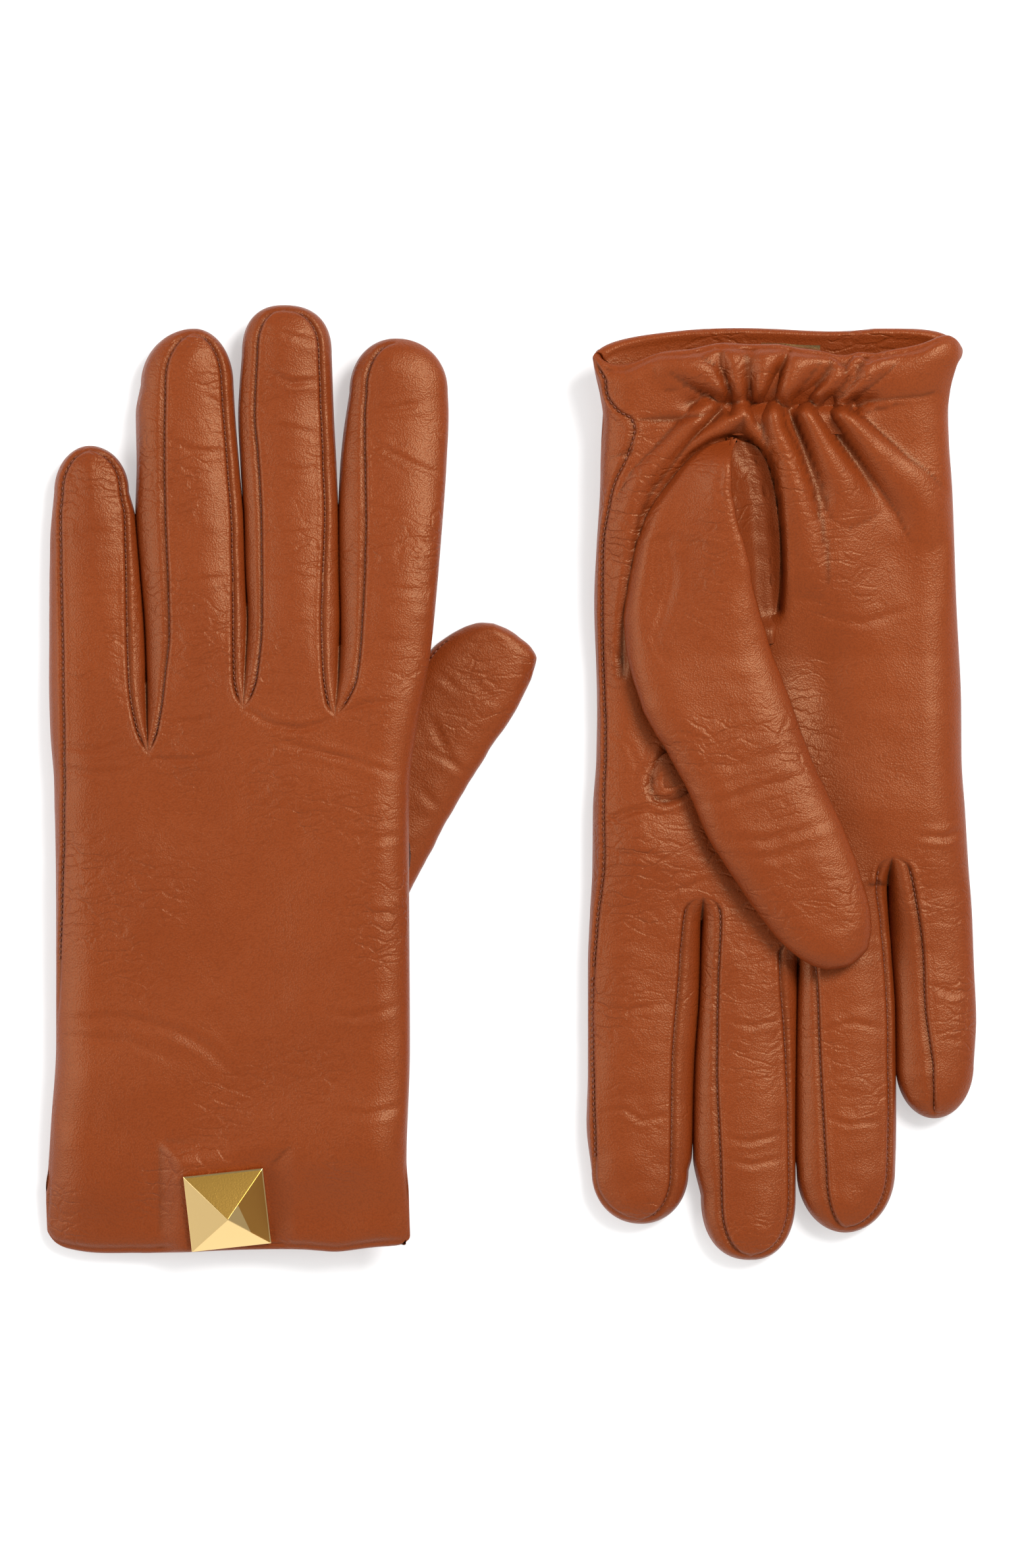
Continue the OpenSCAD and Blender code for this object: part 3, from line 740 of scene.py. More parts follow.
def labels_for(plan, k, v, columns, strip, top):
    """Names of the leather piece that each face of finger k's grid belongs to."""
    side, far = ("back", "palm") if (plan.name == "left") == top else ("palm", "back")
    finger = plan.spec["order"][k]
    middle = (v[:-1] + v[1:]) / 2
    beyond = middle > plan.spec["knuckles"][k] - BEND - 1
    names = np.empty((len(middle), columns), object)
    forks = [f"fourchette_{a}_{b}" for a, b in
             (("ring", "little"), ("middle", "ring"), ("index", "middle"))]
    if plan.name == "right":
        forks = forks[::-1]
    left_hand = forks[k - 1] if k else far
    right_hand = forks[k] if k < 3 else far
    left_tip = "sides" if k else far
    right_tip = "sides" if k < 3 else far
    if k == 3 and top:
        right_hand = right_tip = side
    if k == 0 and not top:
        left_hand = left_tip = side
    for i, tip in enumerate(beyond):
        names[i, :strip] = left_tip if tip else left_hand
        names[i, strip:columns - strip] = side
        names[i, columns - strip:] = right_tip if tip else right_hand
    prefix = np.where(beyond, finger + "_", "")[:, None]
    return (prefix.astype(object) + names).astype(str)


def build_glove(spec, inset=0.0, step=0.72, panel=PANEL, strip=STRIP, start=None):
    """The skin of a hand with its fingers, the grids' point indices, and the plan."""
    plan = Plan(spec, inset)
    skin = Skin()
    grids = {}
    hand_rows = row_positions(plan, step)
    if start is not None:
        hand_rows = np.concatenate([[start], hand_rows[hand_rows > start + 0.4]])
    for top in (True, False):
        lines = plan.outline(top)
        n_panel, n_strip = panel[0 if top else 1], strip[0 if top else 1]
        for k in range(4):
            for part, v_rows in (("hand", hand_rows), ("finger", tip_rows(plan, k, step))):
                left, seam_l, seam_r, right = plan.bounds_of(k, v_rows, top)
                t = np.linspace(0, 1, n_strip + 1)[None, :]
                q = spread(n_panel, 0.6)[None, :]
                u = np.hstack([
                    left[:, None] + (seam_l - left)[:, None] * t,
                    (seam_l[:, None] + (seam_r - seam_l)[:, None] * q)[:, 1:-1],
                    seam_r[:, None] + (right - seam_r)[:, None] * t,
                ])
                v = np.repeat(v_rows[:, None], u.shape[1], 1)
                if inset == 0:
                    s = np.clip((CUFF_START - v) / (CUFF_START - plan.low), 0, 1)
                    bent = CUFF_START + (plan.end[top](u) - CUFF_START) * s
                    v = np.where(v < CUFF_START, bent, v)
                z = surface(plan, lines, u, v, top, k)
                points = np.stack([u, plan.way * v, z], 2)
                label = labels_for(plan, k, v_rows, u.shape[1] - 1, n_strip, top)
                flip = (plan.way == 1) != top
                grids[top, k, part] = skin.grid(points, label, flip)
    return skin, grids, plan, hand_rows


def surface(plan, lines, u, v, top, k):
    """Heights of the points of finger k's columns."""
    name = plan.name
    base = base_height(name, u, v)
    body = thickness(name, v)
    waist = base + WAIST * body
    high = base + body - plan.inset if top else base + plan.inset
    if top:
        relief = top_relief(name, u, v)
        high = high + (np.minimum(relief, 0) if plan.inset else relief)
    if not plan.inset:
        from_end = np.abs(v - plan.end[top](u))
        high = high - (1.9 if top else -0.9) * (1 - rounded(from_end, 4.2))
    if top and name == "left":
        seat, follows = stud_seat(u, v)
        high = high + (seat - plan.inset - high) * follows
    p = np.column_stack([u.ravel(), v.ravel()])
    reach = 14
    best, found = None, None
    for line in lines:
        near_box = (p[:, 0] > line[:, 0].min() - reach) & (p[:, 0] < line[:, 0].max() + reach)
        d = np.full(len(p), 1e9)
        extra = np.zeros((len(p), 2))
        if near_box.any():
            d[near_box], extra[near_box] = nearest(p[near_box], line)
        if best is None:
            best, found = d, extra
            continue
        closer = d < best
        best, found = np.where(closer, d, best), np.where(closer[:, None], extra, found)
    best = best.reshape(u.shape)
    filled, radius = found[:, 0].reshape(u.shape), np.maximum(found[:, 1].reshape(u.shape), 0.3)
    for column, fork in ((0, k - 1), (-1, k)):
        outer = fork < 0 or fork > 2
        on_edge = np.ones(len(u), bool) if outer else v[:, column] > plan.forks[top][fork]
        exact = np.zeros(len(u)) if outer else plan.fill(fork, v[:, column], top)
        best[:, column] = np.where(on_edge, 0, best[:, column])
        filled[:, column] = np.where(on_edge, exact, filled[:, column])
    last = v[:, 0] >= plan.spec["tips"][k][1] - plan.inset - 1e-6
    best[last] = 0
    filled[last] = 0
    return high + (waist - high) * (1 - filled) * (1 - rounded(best, radius))


def seam_lines(grids, where):
    """For each side up, finger, and left or right: a seam's point indices, and the slot beside it."""
    lines = {}
    for top in (True, False):
        n = STRIP[0 if top else 1]
        for k in range(4):
            hand = where[grids[top, k, "hand"]]
            finger = where[grids[top, k, "finger"]]
            whole = np.vstack([hand, finger[1:]])
            for side, column in (("left", n), ("right", -1 - n)):
                fork = slot_beside(side, k)
                if fork is None and (side == "right") == top:
                    continue
                lines[top, k, side] = (whole[:, column], fork)
    return lines


# ---------------------------------------------------------------- materials

def new_material(name):
    """A new material, its node tree and its shader."""
    material = bpy.data.materials.new(name)
    material.use_nodes = True
    tree = material.node_tree
    return material, tree, tree.nodes["Principled BSDF"]


def node(tree, kind, **values):
    """A node with its sockets and settings set by name."""
    made = tree.nodes.new(kind)
    for key, value in values.items():
        if key in made.inputs:
            made.inputs[key].default_value = value
        else:
            setattr(made, key, value)
    return made


def texture(tree, kind, place, **values):
    """A texture or mapping node that reads a place."""
    made = node(tree, kind, **values)
    tree.links.new(place, made.inputs["Vector"])
    return made


def remap(tree, value, start, end, low=0.0, high=1.0, kind="LINEAR"):
    """Maps a value from the range start to end to the range low to high."""
    made = node(tree, "ShaderNodeMapRange", interpolation_type=kind)
    limits = {"From Min": start, "From Max": end, "To Min": low, "To Max": high}
    for key, limit in limits.items():
        made.inputs[key].default_value = limit
    tree.links.new(value, made.inputs["Value"])
    return made.outputs["Result"]


def mixed(tree, factor, a, b):
    """Mixes colours a and b, each of which is three numbers or another node's output."""
    made = node(tree, "ShaderNodeMix", data_type="RGBA")
    for key, colour in (("A", a), ("B", b)):
        if isinstance(colour, tuple):
            made.inputs[key].default_value = (*colour, 1)
        else:
            tree.links.new(colour, made.inputs[key])
    tree.links.new(factor, made.inputs["Factor"])
    return made.outputs["Result"]


def bump(tree, height, distance, strength, below=None):
    """Bumps on top of the ones below. The strength is a number or another node's output."""
    made = node(tree, "ShaderNodeBump", Distance=distance)
    if isinstance(strength, float):
        made.inputs["Strength"].default_value = strength
    else:
        tree.links.new(strength, made.inputs["Strength"])
    tree.links.new(height, made.inputs["Height"])
    if below is not None:
        tree.links.new(below, made.inputs["Normal"])
    return made.outputs["Normal"]


def scaled(colour, *factors):
    """A colour with its red, green and blue each multiplied."""
    return tuple(part * factor for part, factor in zip(colour, factors))


def leather_material(name, light, shade_colour, rough, crease_depth):
    """Smooth glove leather: fine grain, a net of shallow creases, and painted shade in folds and seams."""
    material, tree, shader = new_material(name)
    link = tree.links.new
    place = node(tree, "ShaderNodeTexCoord").outputs["Object"]

    # The net of creases runs across the fingers and shows only in patches
    warp = texture(tree, "ShaderNodeTexNoise", place, Scale=130.0, Detail=3.0)
    shift = node(tree, "ShaderNodeVectorMath", operation="MULTIPLY_ADD")
    shift.inputs[1].default_value = (0.006, 0.006, 0.006)
    link(warp.outputs["Color"], shift.inputs[0])
    link(place, shift.inputs[2])
    stretch = texture(tree, "ShaderNodeMapping", shift.outputs["Vector"])
    stretch.inputs["Scale"].default_value = (120, 360, 240)
    net = texture(tree, "ShaderNodeTexVoronoi", stretch.outputs["Vector"],
                  feature="DISTANCE_TO_EDGE", Scale=1.0)
    groove = remap(tree, net.outputs["Distance"], 0.0, 0.16, kind="SMOOTHSTEP")
    patch = texture(tree, "ShaderNodeTexNoise", place, Scale=48.0, Detail=2.0)
    patches = remap(tree, patch.outputs["Fac"], 0.47, 0.62)

    grain = texture(tree, "ShaderNodeTexVoronoi", place, Scale=2500.0, Randomness=1.0)
    crumple = texture(tree, "ShaderNodeTexNoise", place, Scale=650.0, Detail=4.0, Roughness=0.7)
    creases = bump(tree, groove, crease_depth, patches)
    rumple = bump(tree, crumple.outputs["Fac"], 0.00015, 0.35, creases)
    pores = bump(tree, grain.outputs["Distance"], 0.00011, 0.6, rumple)
    link(pores, shader.inputs["Normal"])

    # The colour is cloudy, with painted shade in seams and hollows, and darker along the borders of the
    # grain's cells
    cloud = texture(tree, "ShaderNodeTexNoise", place, Scale=26.0, Detail=5.0, Roughness=0.6)
    clouds = remap(tree, cloud.outputs["Fac"], 0.3, 0.7)
    colour = mixed(tree, clouds, light, scaled(light, 0.88, 0.83, 0.8))
    painted_shade = node(tree, "ShaderNodeAttribute", attribute_name="painted_shade")
    colour = mixed(tree, painted_shade.outputs["Fac"], colour, shade_colour)
    border = remap(tree, grain.outputs["Distance"], 0.35, 0.8, high=0.3)
    colour = mixed(tree, border, colour, scaled(light, 0.45, 0.38, 0.35))
    link(colour, shader.inputs["Base Color"])
    gloss = remap(tree, crumple.outputs["Fac"], 0.0, 1.0, rough - 0.05, rough + 0.09)
    link(gloss, shader.inputs["Roughness"])
    shader.inputs["Specular IOR Level"].default_value = 0.5
    shader.inputs["Specular Tint"].default_value = (1.0, 0.66, 0.38, 1)
    return material


def plain_material(name, colour, rough, metallic=0.0, grain=0.0, scale=900.0):
    """One colour, with a fine uneven grain of the given depth and scale."""
    material, tree, shader = new_material(name)
    shader.inputs["Base Color"].default_value = (*colour, 1)
    shader.inputs["Metallic"].default_value = metallic
    shader.inputs["Roughness"].default_value = rough
    if grain:
        place = node(tree, "ShaderNodeTexCoord").outputs["Object"]
        fine = texture(tree, "ShaderNodeTexNoise", place, Scale=scale, Detail=4.0)
        normal = bump(tree, fine.outputs["Fac"], grain, 0.6)
        tree.links.new(normal, shader.inputs["Normal"])
    return material


# ---------------------------------------------------------------- pieces


def attach(obj, glove, name):
    """Puts a piece on its hand's body; a finger's or a thumb's piece only gets its place baked into its
    mesh.
    """
    part = name.split("_")[0]
    if part in FINGERS:
        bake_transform(obj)
    elif name in ("thumb", "thumb_lining", "thumb_stitches"):
        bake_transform(obj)
    else:
        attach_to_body(obj, f"{glove}_hand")


def place_piece(obj, glove, name):
    """Places a piece as attach does, and hides the CAD node that it stands for."""
    attach(obj, glove, name)
    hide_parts(f"{glove}_{name}")


def own_skin_piece(glove, name, kind, skin, thickness_mm, material, painted_shade=0.0):
    """Makes and places a piece that is a whole skin by itself."""
    shade = painted_shade + np.zeros(len(skin.v))
    piece = thick_piece(f"{glove}_{name}.{kind}", skin, skin.normals(), shade, name,
                        thickness_mm, material)
    place_piece(piece, glove, name)


def seam_detail(skin, normals, seams, plan):
    """Moves the skin at its seams: both edges turn in, and the fourchette lies lower beside them. Shade is
    painted into the seams' grooves.
    """
    moved = np.zeros(len(skin.v))
    painted_shade = np.zeros(len(skin.v))
    strength = np.zeros(len(skin.v))
    fourchettes = [i for i, name in enumerate(skin.names)
                   if "fourchette" in name or name.endswith("sides")]
    on_fourchette = np.zeros(len(skin.v), bool)
    on_fourchette[np.unique(skin.f[np.isin(skin.l, fourchettes)])] = True
    for (top, k, side), (line, fork) in seams.items():
        path, force = seam_run(skin, plan, top, k, side, line, fork)
        middle, reach = path.mean(0), 24
        near = np.abs(skin.v[:, 0] - middle[0]) < reach
        above = normals[:, 2] > -0.35 if top else normals[:, 2] < 0.35
        pick = np.nonzero(near & above)[0]
        d, here = nearest(skin.v[pick], np.column_stack([path, force]), axes=3)
        here = here[:, 0]
        curl = -0.6 * np.exp(-((d / 0.5) ** 1.5))
        lower = -0.5 * (1 - smoothstep(d / 3.2)) + 0.3 * np.exp(-(((d - 1.2) / 0.7) ** 2))
        lip = 0.22 * np.exp(-(((d - 1.0) / 0.6) ** 2))
        change = here * (curl + np.where(on_fourchette[pick], lower, lip))
        effect = here * np.exp(-d / 1.5)
        moved[pick] = np.where(effect > strength[pick], change, moved[pick])
        strength[pick] = np.maximum(strength[pick], effect)
        # Painted shade: the colour darkens in each seam's groove
        painted_shade[pick] = np.maximum(painted_shade[pick], 0.42 * here * np.exp(-((d / 0.42) ** 1.5)))
    return moved, painted_shade


def seam_run(skin, plan, top, k, side, line, fork):
    """A seam's points and how deep it is at each: it fades at the tip and where it meets the outline."""
    v = plan.way * skin.v[line, 1]
    if fork is not None:
        line, v = line[v >= plan.forks[top][fork] - 0.3], v[v >= plan.forks[top][fork] - 0.3]
    tip = plan.spec["tips"][k][1]
    force = smoothstep((tip - 0.6 - v) / 2.4)
    if fork is not None:
        force = force * (0.1 + 0.9 * smoothstep((v - plan.forks[top][fork]) / 3.5))
    if fork is None:
        outside = plan.edge(side, k, np.minimum(v, tip - 14))
        inside = plan.bounds_of(k, np.minimum(v, tip - 14), top)[1 if side == "left" else 2]
        force = force * smoothstep((np.abs(inside - outside) - 0.3) / 1.4)
    return skin.v[line], force


def wrinkle_detail(skin, normals, plan):
    """Creases at their set places, and small uneven waves everywhere."""
    p = skin.v[:, :2]
    up = smoothstep((normals[:, 2] - 0.1) / 0.4)
    moved = np.zeros(len(p))
    for line, depth, width in LEFT_CREASES if plan.name == "left" else RIGHT_CREASES:
        moved += crease(p, line, depth, width) * up
    v = plan.way * p[:, 1]
    finger = smoothstep((v - 12) / 20)
    waves = 0.07 * noise(p[:, 0] / 7, v / 2.1, 21) + 0.035 * noise(p[:, 0] / 3, v / 1.5, 22)
    broad = 0.12 * noise(p[:, 0] / 5, v / 5, 23)
    flat = smoothstep((np.abs(normals[:, 2]) - 0.15) / 0.5)
    return moved + (waves * (0.4 + 0.6 * finger) + broad) * flat


def stitch_piece(name, runs, material):
    """Small threads along runs of (points, normals), one every PITCH, on the seam."""
    sides = 6
    around = np.linspace(0, 2 * math.pi, sides + 1)[:-1]
    ring = [(math.cos(a), math.sin(a)) for a in around]
    profile = [(-0.5, 0.35), (-0.3, 1), (0.3, 1), (0.5, 0.35)]
    points, faces = [], []
    for path, normals in runs:
        if len(path) < 3:
            continue
        run = np.concatenate([[0], np.cumsum(np.linalg.norm(np.diff(path, axis=0), axis=1))])
        for s in np.arange(PITCH, run[-1] - PITCH / 2, PITCH):
            at = np.array([np.interp(s, run, path[:, i]) for i in range(3)])
            ahead = np.array([np.interp(s + 0.3, run, path[:, i]) for i in range(3)]) - at
            up = np.array([np.interp(s, run, normals[:, i]) for i in range(3)])
            ahead /= max(np.linalg.norm(ahead), 1e-9)
            across = np.cross(ahead, up)
            across /= max(np.linalg.norm(across), 1e-9)
            lift = np.cross(across, ahead)
            start = len(points)
            for along, size in profile:
                middle = at + ahead * along * STITCH_LENGTH + up * STITCH_LIFT
                for x, y in ring:
                    points.append(middle + (across * x + lift * y) * STITCH_RADIUS * size)
            for i in range(len(profile) - 1):
                first = start + i * sides
                for j in range(sides):
                    a, b = first + j, first + (j + 1) % sides
                    faces.append([a, b, b + sides, a + sides])
            end = start + (len(profile) - 1) * sides
            faces.append([start + j for j in reversed(range(sides))])
            faces.append([end + j for j in range(sides)])
    return make_mesh(name, np.array(points), faces, material=material)


def right_thumb_seams(skin, normals, moved, painted_shade):
    """Adds the grooves of the oval seam and of the gusset's seam to the right palm, with painted shade in
    them.
    """
    flat = skin.v[:, :2]
    for line in (OVAL_SEAM, QUIRK_SEAM):
        d, _ = nearest(flat, line)
        d = np.where(normals[:, 2] > 0.2, d, 99)
        moved += -0.9 * np.exp(-d / 0.7) + 0.5 * np.exp(-(((d - 1.9) / 1.2) ** 2))
        # Painted shade in the grooves
        painted_shade = np.maximum(painted_shade, 0.7 * np.exp(-d / 0.6))
    return moved, painted_shade


def hem_grid(skin, normals, plan, loops):
    """The hem turns in at the cuff: half a turn round, then back inside the leather."""
    outer = skin.v[loops]
    r = (LEATHER + FACING) / 2 + 0.35
    ahead = np.array([0, -plan.way, 0.0])
    edge, edge_n = outer[0], normals[loops[0]]
    edge_n = edge_n - ahead * (edge_n @ ahead)[:, None]
    edge_n /= np.linalg.norm(edge_n, axis=1)[:, None]
    hem = [edge]
    for a in np.linspace(0, math.pi, 9)[1:]:
        hem.append(edge - edge_n * r * (1 - math.cos(a)) + ahead * r * math.sin(a))
    for row in outer[1:]:
        u, z = row[:, 0], row[:, 2]
        level = z[u.argmin()] + (z[u.argmax()] - z[u.argmin()]) * (u - u.min()) / np.ptp(u)
        above = z - level
        shrunk = np.sign(above) * np.maximum(np.abs(above) - 2 * r, 0.02)
        u = np.clip(u, u.min() + 2 * r + 0.3, u.max() - 2 * r - 0.3)
        hem.append(np.column_stack([u, row[:, 1], level + shrunk]))
    hem = np.array(hem)
    # Each row is smoothed along the cuff, more so further in
    for j in range(1, len(hem)):
        for _ in range(3 * min(j, 8)):
            ring = hem[j, :-1]
            hem[j, :-1] = ring / 2 + (np.roll(ring, 1, 0) + np.roll(ring, -1, 0)) / 4
        hem[j, -1] = hem[j, 0]
    return hem


def with_hem(skin, normals, painted_shade, plan, grids, rows, where):
    """The skin of the glove joined to its hem, and the painted shade of the two together."""
    hem_rows = int(np.searchsorted(rows, plan.low + HEM))
    loops = np.hstack(
        [where[grids[True, k, "hand"]][:hem_rows] for k in range(4)]
        + [where[grids[False, k, "hand"]][:hem_rows, ::-1] for k in (3, 2, 1, 0)]
    )
    loops = np.hstack([loops, loops[:, :1]])
    whole = Skin()
    whole.points, whole.faces, whole.labels = [skin.v], [skin.f], [skin.l]
    whole.names, whole.count = list(skin.names), len(skin.v)
    whole.grid(hem_grid(skin, normals, plan, loops), "hem", flip=plan.way == 1)
    hem_map = whole.weld()
    whole_painted_shade = np.zeros(len(whole.v))
    whole_painted_shade[hem_map[: len(skin.v)]] = painted_shade
    return whole, whole_painted_shade


def elastic_tape(skin, normals, plan, grids, rows, where, looks):
    """The elastic lies between leather and lining at the gathered wrist, on the palm side."""
    top = plan.name == "right"
    start, end = (int(np.searchsorted(rows, v)) for v in ELASTIC_BAND)
    band = np.hstack([where[grids[top, k, "hand"]][start:end] for k in range(4)])
    inset = band.shape[1] // 8
    band = band[:, inset:-inset]
    tape = Skin()
    tape.grid(skin.v[band] - normals[band] * (LEATHER + 0.3), "elastic", (plan.way == 1) != top)
    tape.weld()
    own_skin_piece(plan.name, "elastic", "tape", tape, ELASTIC, looks["elastic"])


def glove_stitches(skin, normals, seams, plan, looks):
    """One piece of stitches for the hand, and one for each finger."""
    runs = {"hand": []}
    for (top, k, side), (line, fork) in seams.items():
        v = plan.way * skin.v[line, 1]
        if fork is not None:
            line = line[v >= plan.forks[top][fork] - 0.3]
        _, force = seam_run(skin, plan, top, k, side, line, fork)
        line = line[force > 0.6]
        v = plan.way * skin.v[line, 1]
        split = plan.spec["knuckles"][k] - BEND - 1
        hand, finger = line[v <= split], line[v > split]
        runs["hand"].append((skin.v[hand], normals[hand]))
        name = plan.spec["order"][k]
        runs.setdefault(name, []).append((skin.v[finger], normals[finger]))
    for name, paths in runs.items():
        piece = stitch_piece(f"{plan.name}_{name}_stitches", paths, looks["thread"])
        attach(piece, plan.name, name)


def leather_glove(spec, looks):
    """All the sewn leather of one glove, its hem, elastic and stitches."""
    skin, grids, plan, rows = build_glove(spec)
    where = skin.weld()
    normals = skin.normals()
    seams = seam_lines(grids, where)
    moved, painted_shade = seam_detail(skin, normals, seams, plan)
    if plan.name == "right":
        moved, painted_shade = right_thumb_seams(skin, normals, moved, painted_shade)
    # Painted shade in sharp hollows
    painted_shade = np.maximum(painted_shade, 0.45 * hollow(skin, normals))
    moved += wrinkle_detail(skin, normals, plan)
    skin.v = skin.v + normals * moved[:, None]
    normals = skin.normals()

    whole, whole_painted_shade = with_hem(skin, normals, painted_shade, plan, grids, rows, where)
    whole_normals = whole.normals()
    for label in whole.names:
        soft = "fourchette" in label or label.endswith("sides")
        material = looks["fourchette" if soft else "leather"]
        piece = thick_piece(f"{plan.name}_{label}.skin", whole, whole_normals, whole_painted_shade, label,
                            LEATHER, material)
        place_piece(piece, plan.name, label)
    elastic_tape(skin, normals, plan, grids, rows, where, looks)
    glove_stitches(skin, normals, seams, plan, looks)


def lining_pieces(spec, looks):
    """The knitted lining: the glove's own shape, inside the leather."""
    inset = LEATHER + FACING + 0.6
    low = CUFF_END[spec["name"]] + HEM - 1
    skin, _, plan, _ = build_glove(spec, inset, 2.4, (12, 8), (1, 1), start=low)
    skin.weld()
    parts = [label.split("_")[0] for label in skin.names]
    names = [f"{part}_lining" if part in FINGERS else "lining" for part in parts]
    order = list(dict.fromkeys(names))
    skin.l = np.array([order.index(names[code]) for code in skin.l])
    skin.names = order
    normals = skin.normals()
    for name in order:
        piece = thick_piece(f"{plan.name}_{name}.knit", skin, normals, np.zeros(len(skin.v)),
                            name, LINING, looks["lining"])
        place_piece(piece, plan.name, name)


# ---------------------------------------------------------------- thumbs

# Each thumb's left and right edge, as pairs of points from its root to its tip, in the row's X and Y
RIGHT_THUMB = [
    ((53.3, 81.6), (53.4, 81.6)), ((47.1, 80.4), (52.3, 78.5)), ((42.8, 77.6), (51.9, 75)),
    ((37.3, 71.4), (52.0, 70)), ((32.3, 64), (52.6, 65.5)), ((29.8, 57.2), (53.6, 61)),
    ((28, 48.6), (54.9, 57)), ((26.8, 39.9), (56.2, 52)), ((27.0, 33), (57.2, 46.5)),
    ((28.3, 27), (58.7, 41.2)), ((31.3, 17.4), (61.2, 32.9)), ((36.7, 7.8), (65.2, 22.3)),
    ((41.5, -1.1), (68.6, 12.6)), ((46.3, -11.9), (73.1, 1.6)), ((52.9, -22.7), (78.4, -9.8)),
    ((58, -30.2), (81.6, -18)), ((62, -35.4), (83.6, -24.4)), ((66.2, -39.6), (85.0, -30.4)),
    ((69.6, -42), (85.3, -34.8)), ((72.6, -43.3), (84.6, -38.2)), ((75.4, -43.9), (83, -40.8)),
    ((78.2, -43.6), (81.3, -42.3)), ((79.8, -43.1), (79.9, -43.1)),
]
# Rows of the right thumb's table where it comes free of the palm, and where its fold ends
THUMB_FREE, FOLD_END = 8.0, 10.0
# The oval seam's right side, below the thumb's fold
RIGHT_ARC = [(53.5, 81.7), (57.5, 80.2), (60, 77), (61.7, 71.8), (62.7, 66.5), (63.3, 61.5),
             (63.6, 57), (63.7, 52), (63.6, 46.5), (63.0, 41), (62.6, 33.6)]
LEFT_THUMB = [
    ((-44, -26), (-36, -31)), ((-47, -21), (-31, -33)), ((-47.4, -15), (-26.6, -30)),
    ((-44.6, -9.5), (-22.6, -22.6)), ((-40.7, -3.4), (-19.2, -16.2)), ((-35.5, 6.4), (-14, -6.4)),
    ((-30.8, 14.1), (-9.3, 1.3)), ((-26.2, 21.9), (-4.6, 9.1)), ((-22.8, 27.4), (-0.4, 15)),
    ((-20.6, 30.2), (3, 21.3)), ((-18.6, 32.6), (5.3, 26.4)), ((-15.9, 34.8), (6.1, 29.8)),
    ((-13, 36.6), (4.9, 32.4)), ((-10, 37.9), (2.3, 34.8)), ((-7, 38.5), (-1, 37)),
    ((-4.3, 38.3), (-4.2, 38.3)),
]


def rows_between(pairs, count):
    """Left and right edge points, made smooth along the thumb."""
    pairs = np.array(pairs, float)
    middle = pairs.mean(1)
    run = plan_lengths(middle)
    run = run + np.arange(len(run)) * 0.4
    t = np.linspace(0, run[-1], count)
    t = np.sort(np.concatenate([t, np.linspace(run[-6], run[-1], count // 4)[1:-1]]))
    sides = []
    for side in (0, 1):
        x = through(list(zip(run, pairs[:, side, 0])))(t)
        y = through(list(zip(run, pairs[:, side, 1])))(t)
        sides.append(np.column_stack([x, y]))
    return sides[0], sides[1], np.interp(t, run, np.arange(len(run)))


def tube_profile(q):
    """Height across a tube that lies flat, from edge to edge: 0 at the edges and 1 between."""
    return (1 - np.abs(2 * q - 1) ** 2.6) ** (1 / 2.2)


RIGHT_THUMB_CREASES = [
    ([(41, -4.5), (50, -4), (60, -0.6), (69, 2.2)], 0.4, 0.8), ([(45, -1.6), (56, 1.4)], 0.2, 0.6),
    ([(50, -13), (60, -13.4), (70, -11), (76, -8.5)], 0.45, 0.8),
    ([(52, -17), (62, -17.4), (73, -13)], 0.25, 0.7),
    ([(45, 5), (54, 4.4), (63, 7.6), (68, 9)], 0.3, 0.7), ([(48, 11), (58, 13), (66, 15)], 0.2, 0.6),
    ([(58, -20), (64, -22), (74, -19), (80, -20)], 0.2, 0.6), ([(42, 12), (50, 16), (62, 22)], 0.15, 0.6),
    ([(40, 62), (46, 60), (52, 58)], 0.2, 0.8), ([(31, 56), (38, 57.6), (50, 55)], 0.25, 0.8),
    ([(36, 60), (38, 48), (34, 34), (37, 28)], 0.3, 1.0), ([(34, 58), (34.6, 46), (32, 36)], 0.2, 0.8),
    ([(50, 78), (49, 70), (50, 64)], 0.15, 0.8), ([(30, 36), (36, 34), (44, 36)], 0.15, 0.7),
]
LEFT_THUMB_CREASES = [
    ([(-19, 16), (-16.5, 10), (-14, 6)], 0.3, 0.7), ([(-9.4, 1.6), (-14, 5), (-19, 8)], 0.25, 0.7),
    ([(-10, 25), (-4, 20), (-1, 18)], 0.15, 0.7), ([(-12, 22), (-17, 26)], 0.2, 0.7),
    ([(-21, -2), (-17, -6)], 0.2, 0.7), ([(3, 30), (4.2, 26), (3.4, 23)], 0.15, 0.6),
]


def right_palm_height(x, y):
    """Height of the right palm's flat level, which the thumb lies on."""
    return base_height("right", x, -y) + thickness("right", -y)


def across_thumb(start, end, q):
    """Plan points from one edge of a thumb to the other, at the parts q of its width."""
    return start[:, None, :] + (end - start)[:, None, :] * q[None, :, None]


def right_thumb_top(left, right, at):
    """The upper side: sewn in along the oval, it rises to a fold, then it is a tube on the palm."""
    q = spread(40, 0.75)
    tent = 1 - smoothstep((at - 6) / 4.5)[:, None]
    flat = across_thumb(left, right, q)
    palm = right_palm_height(flat[..., 0], flat[..., 1])
    width = np.linalg.norm(right - left, axis=1)[:, None]
    near_tip = np.clip((22 - at) / 4.5, 0, 1)[:, None] ** 0.5
    grow = smoothstep(at / 2.2)[:, None]
    half = rounded(np.minimum(q, 1 - q)[None, :] * width, 9.5)
    round_top = 3.8 + 4.6 * half * (0.25 + 0.75 * near_tip)
    lift = rounded(q[None, :] * width, 4.5) * 3.2 + 4.3 * smoothstep(q)[None, :] ** 1.3
    lip = 1.3 * (1 - rounded((1 - q)[None, :] * width, 2.4))
    tented = (lift - lip) * grow - 0.8 * (1 - smoothstep(q * 8))[None, :]
    z = palm + tent * tented + (1 - tent) * round_top
    return np.dstack([flat, z[..., None]])


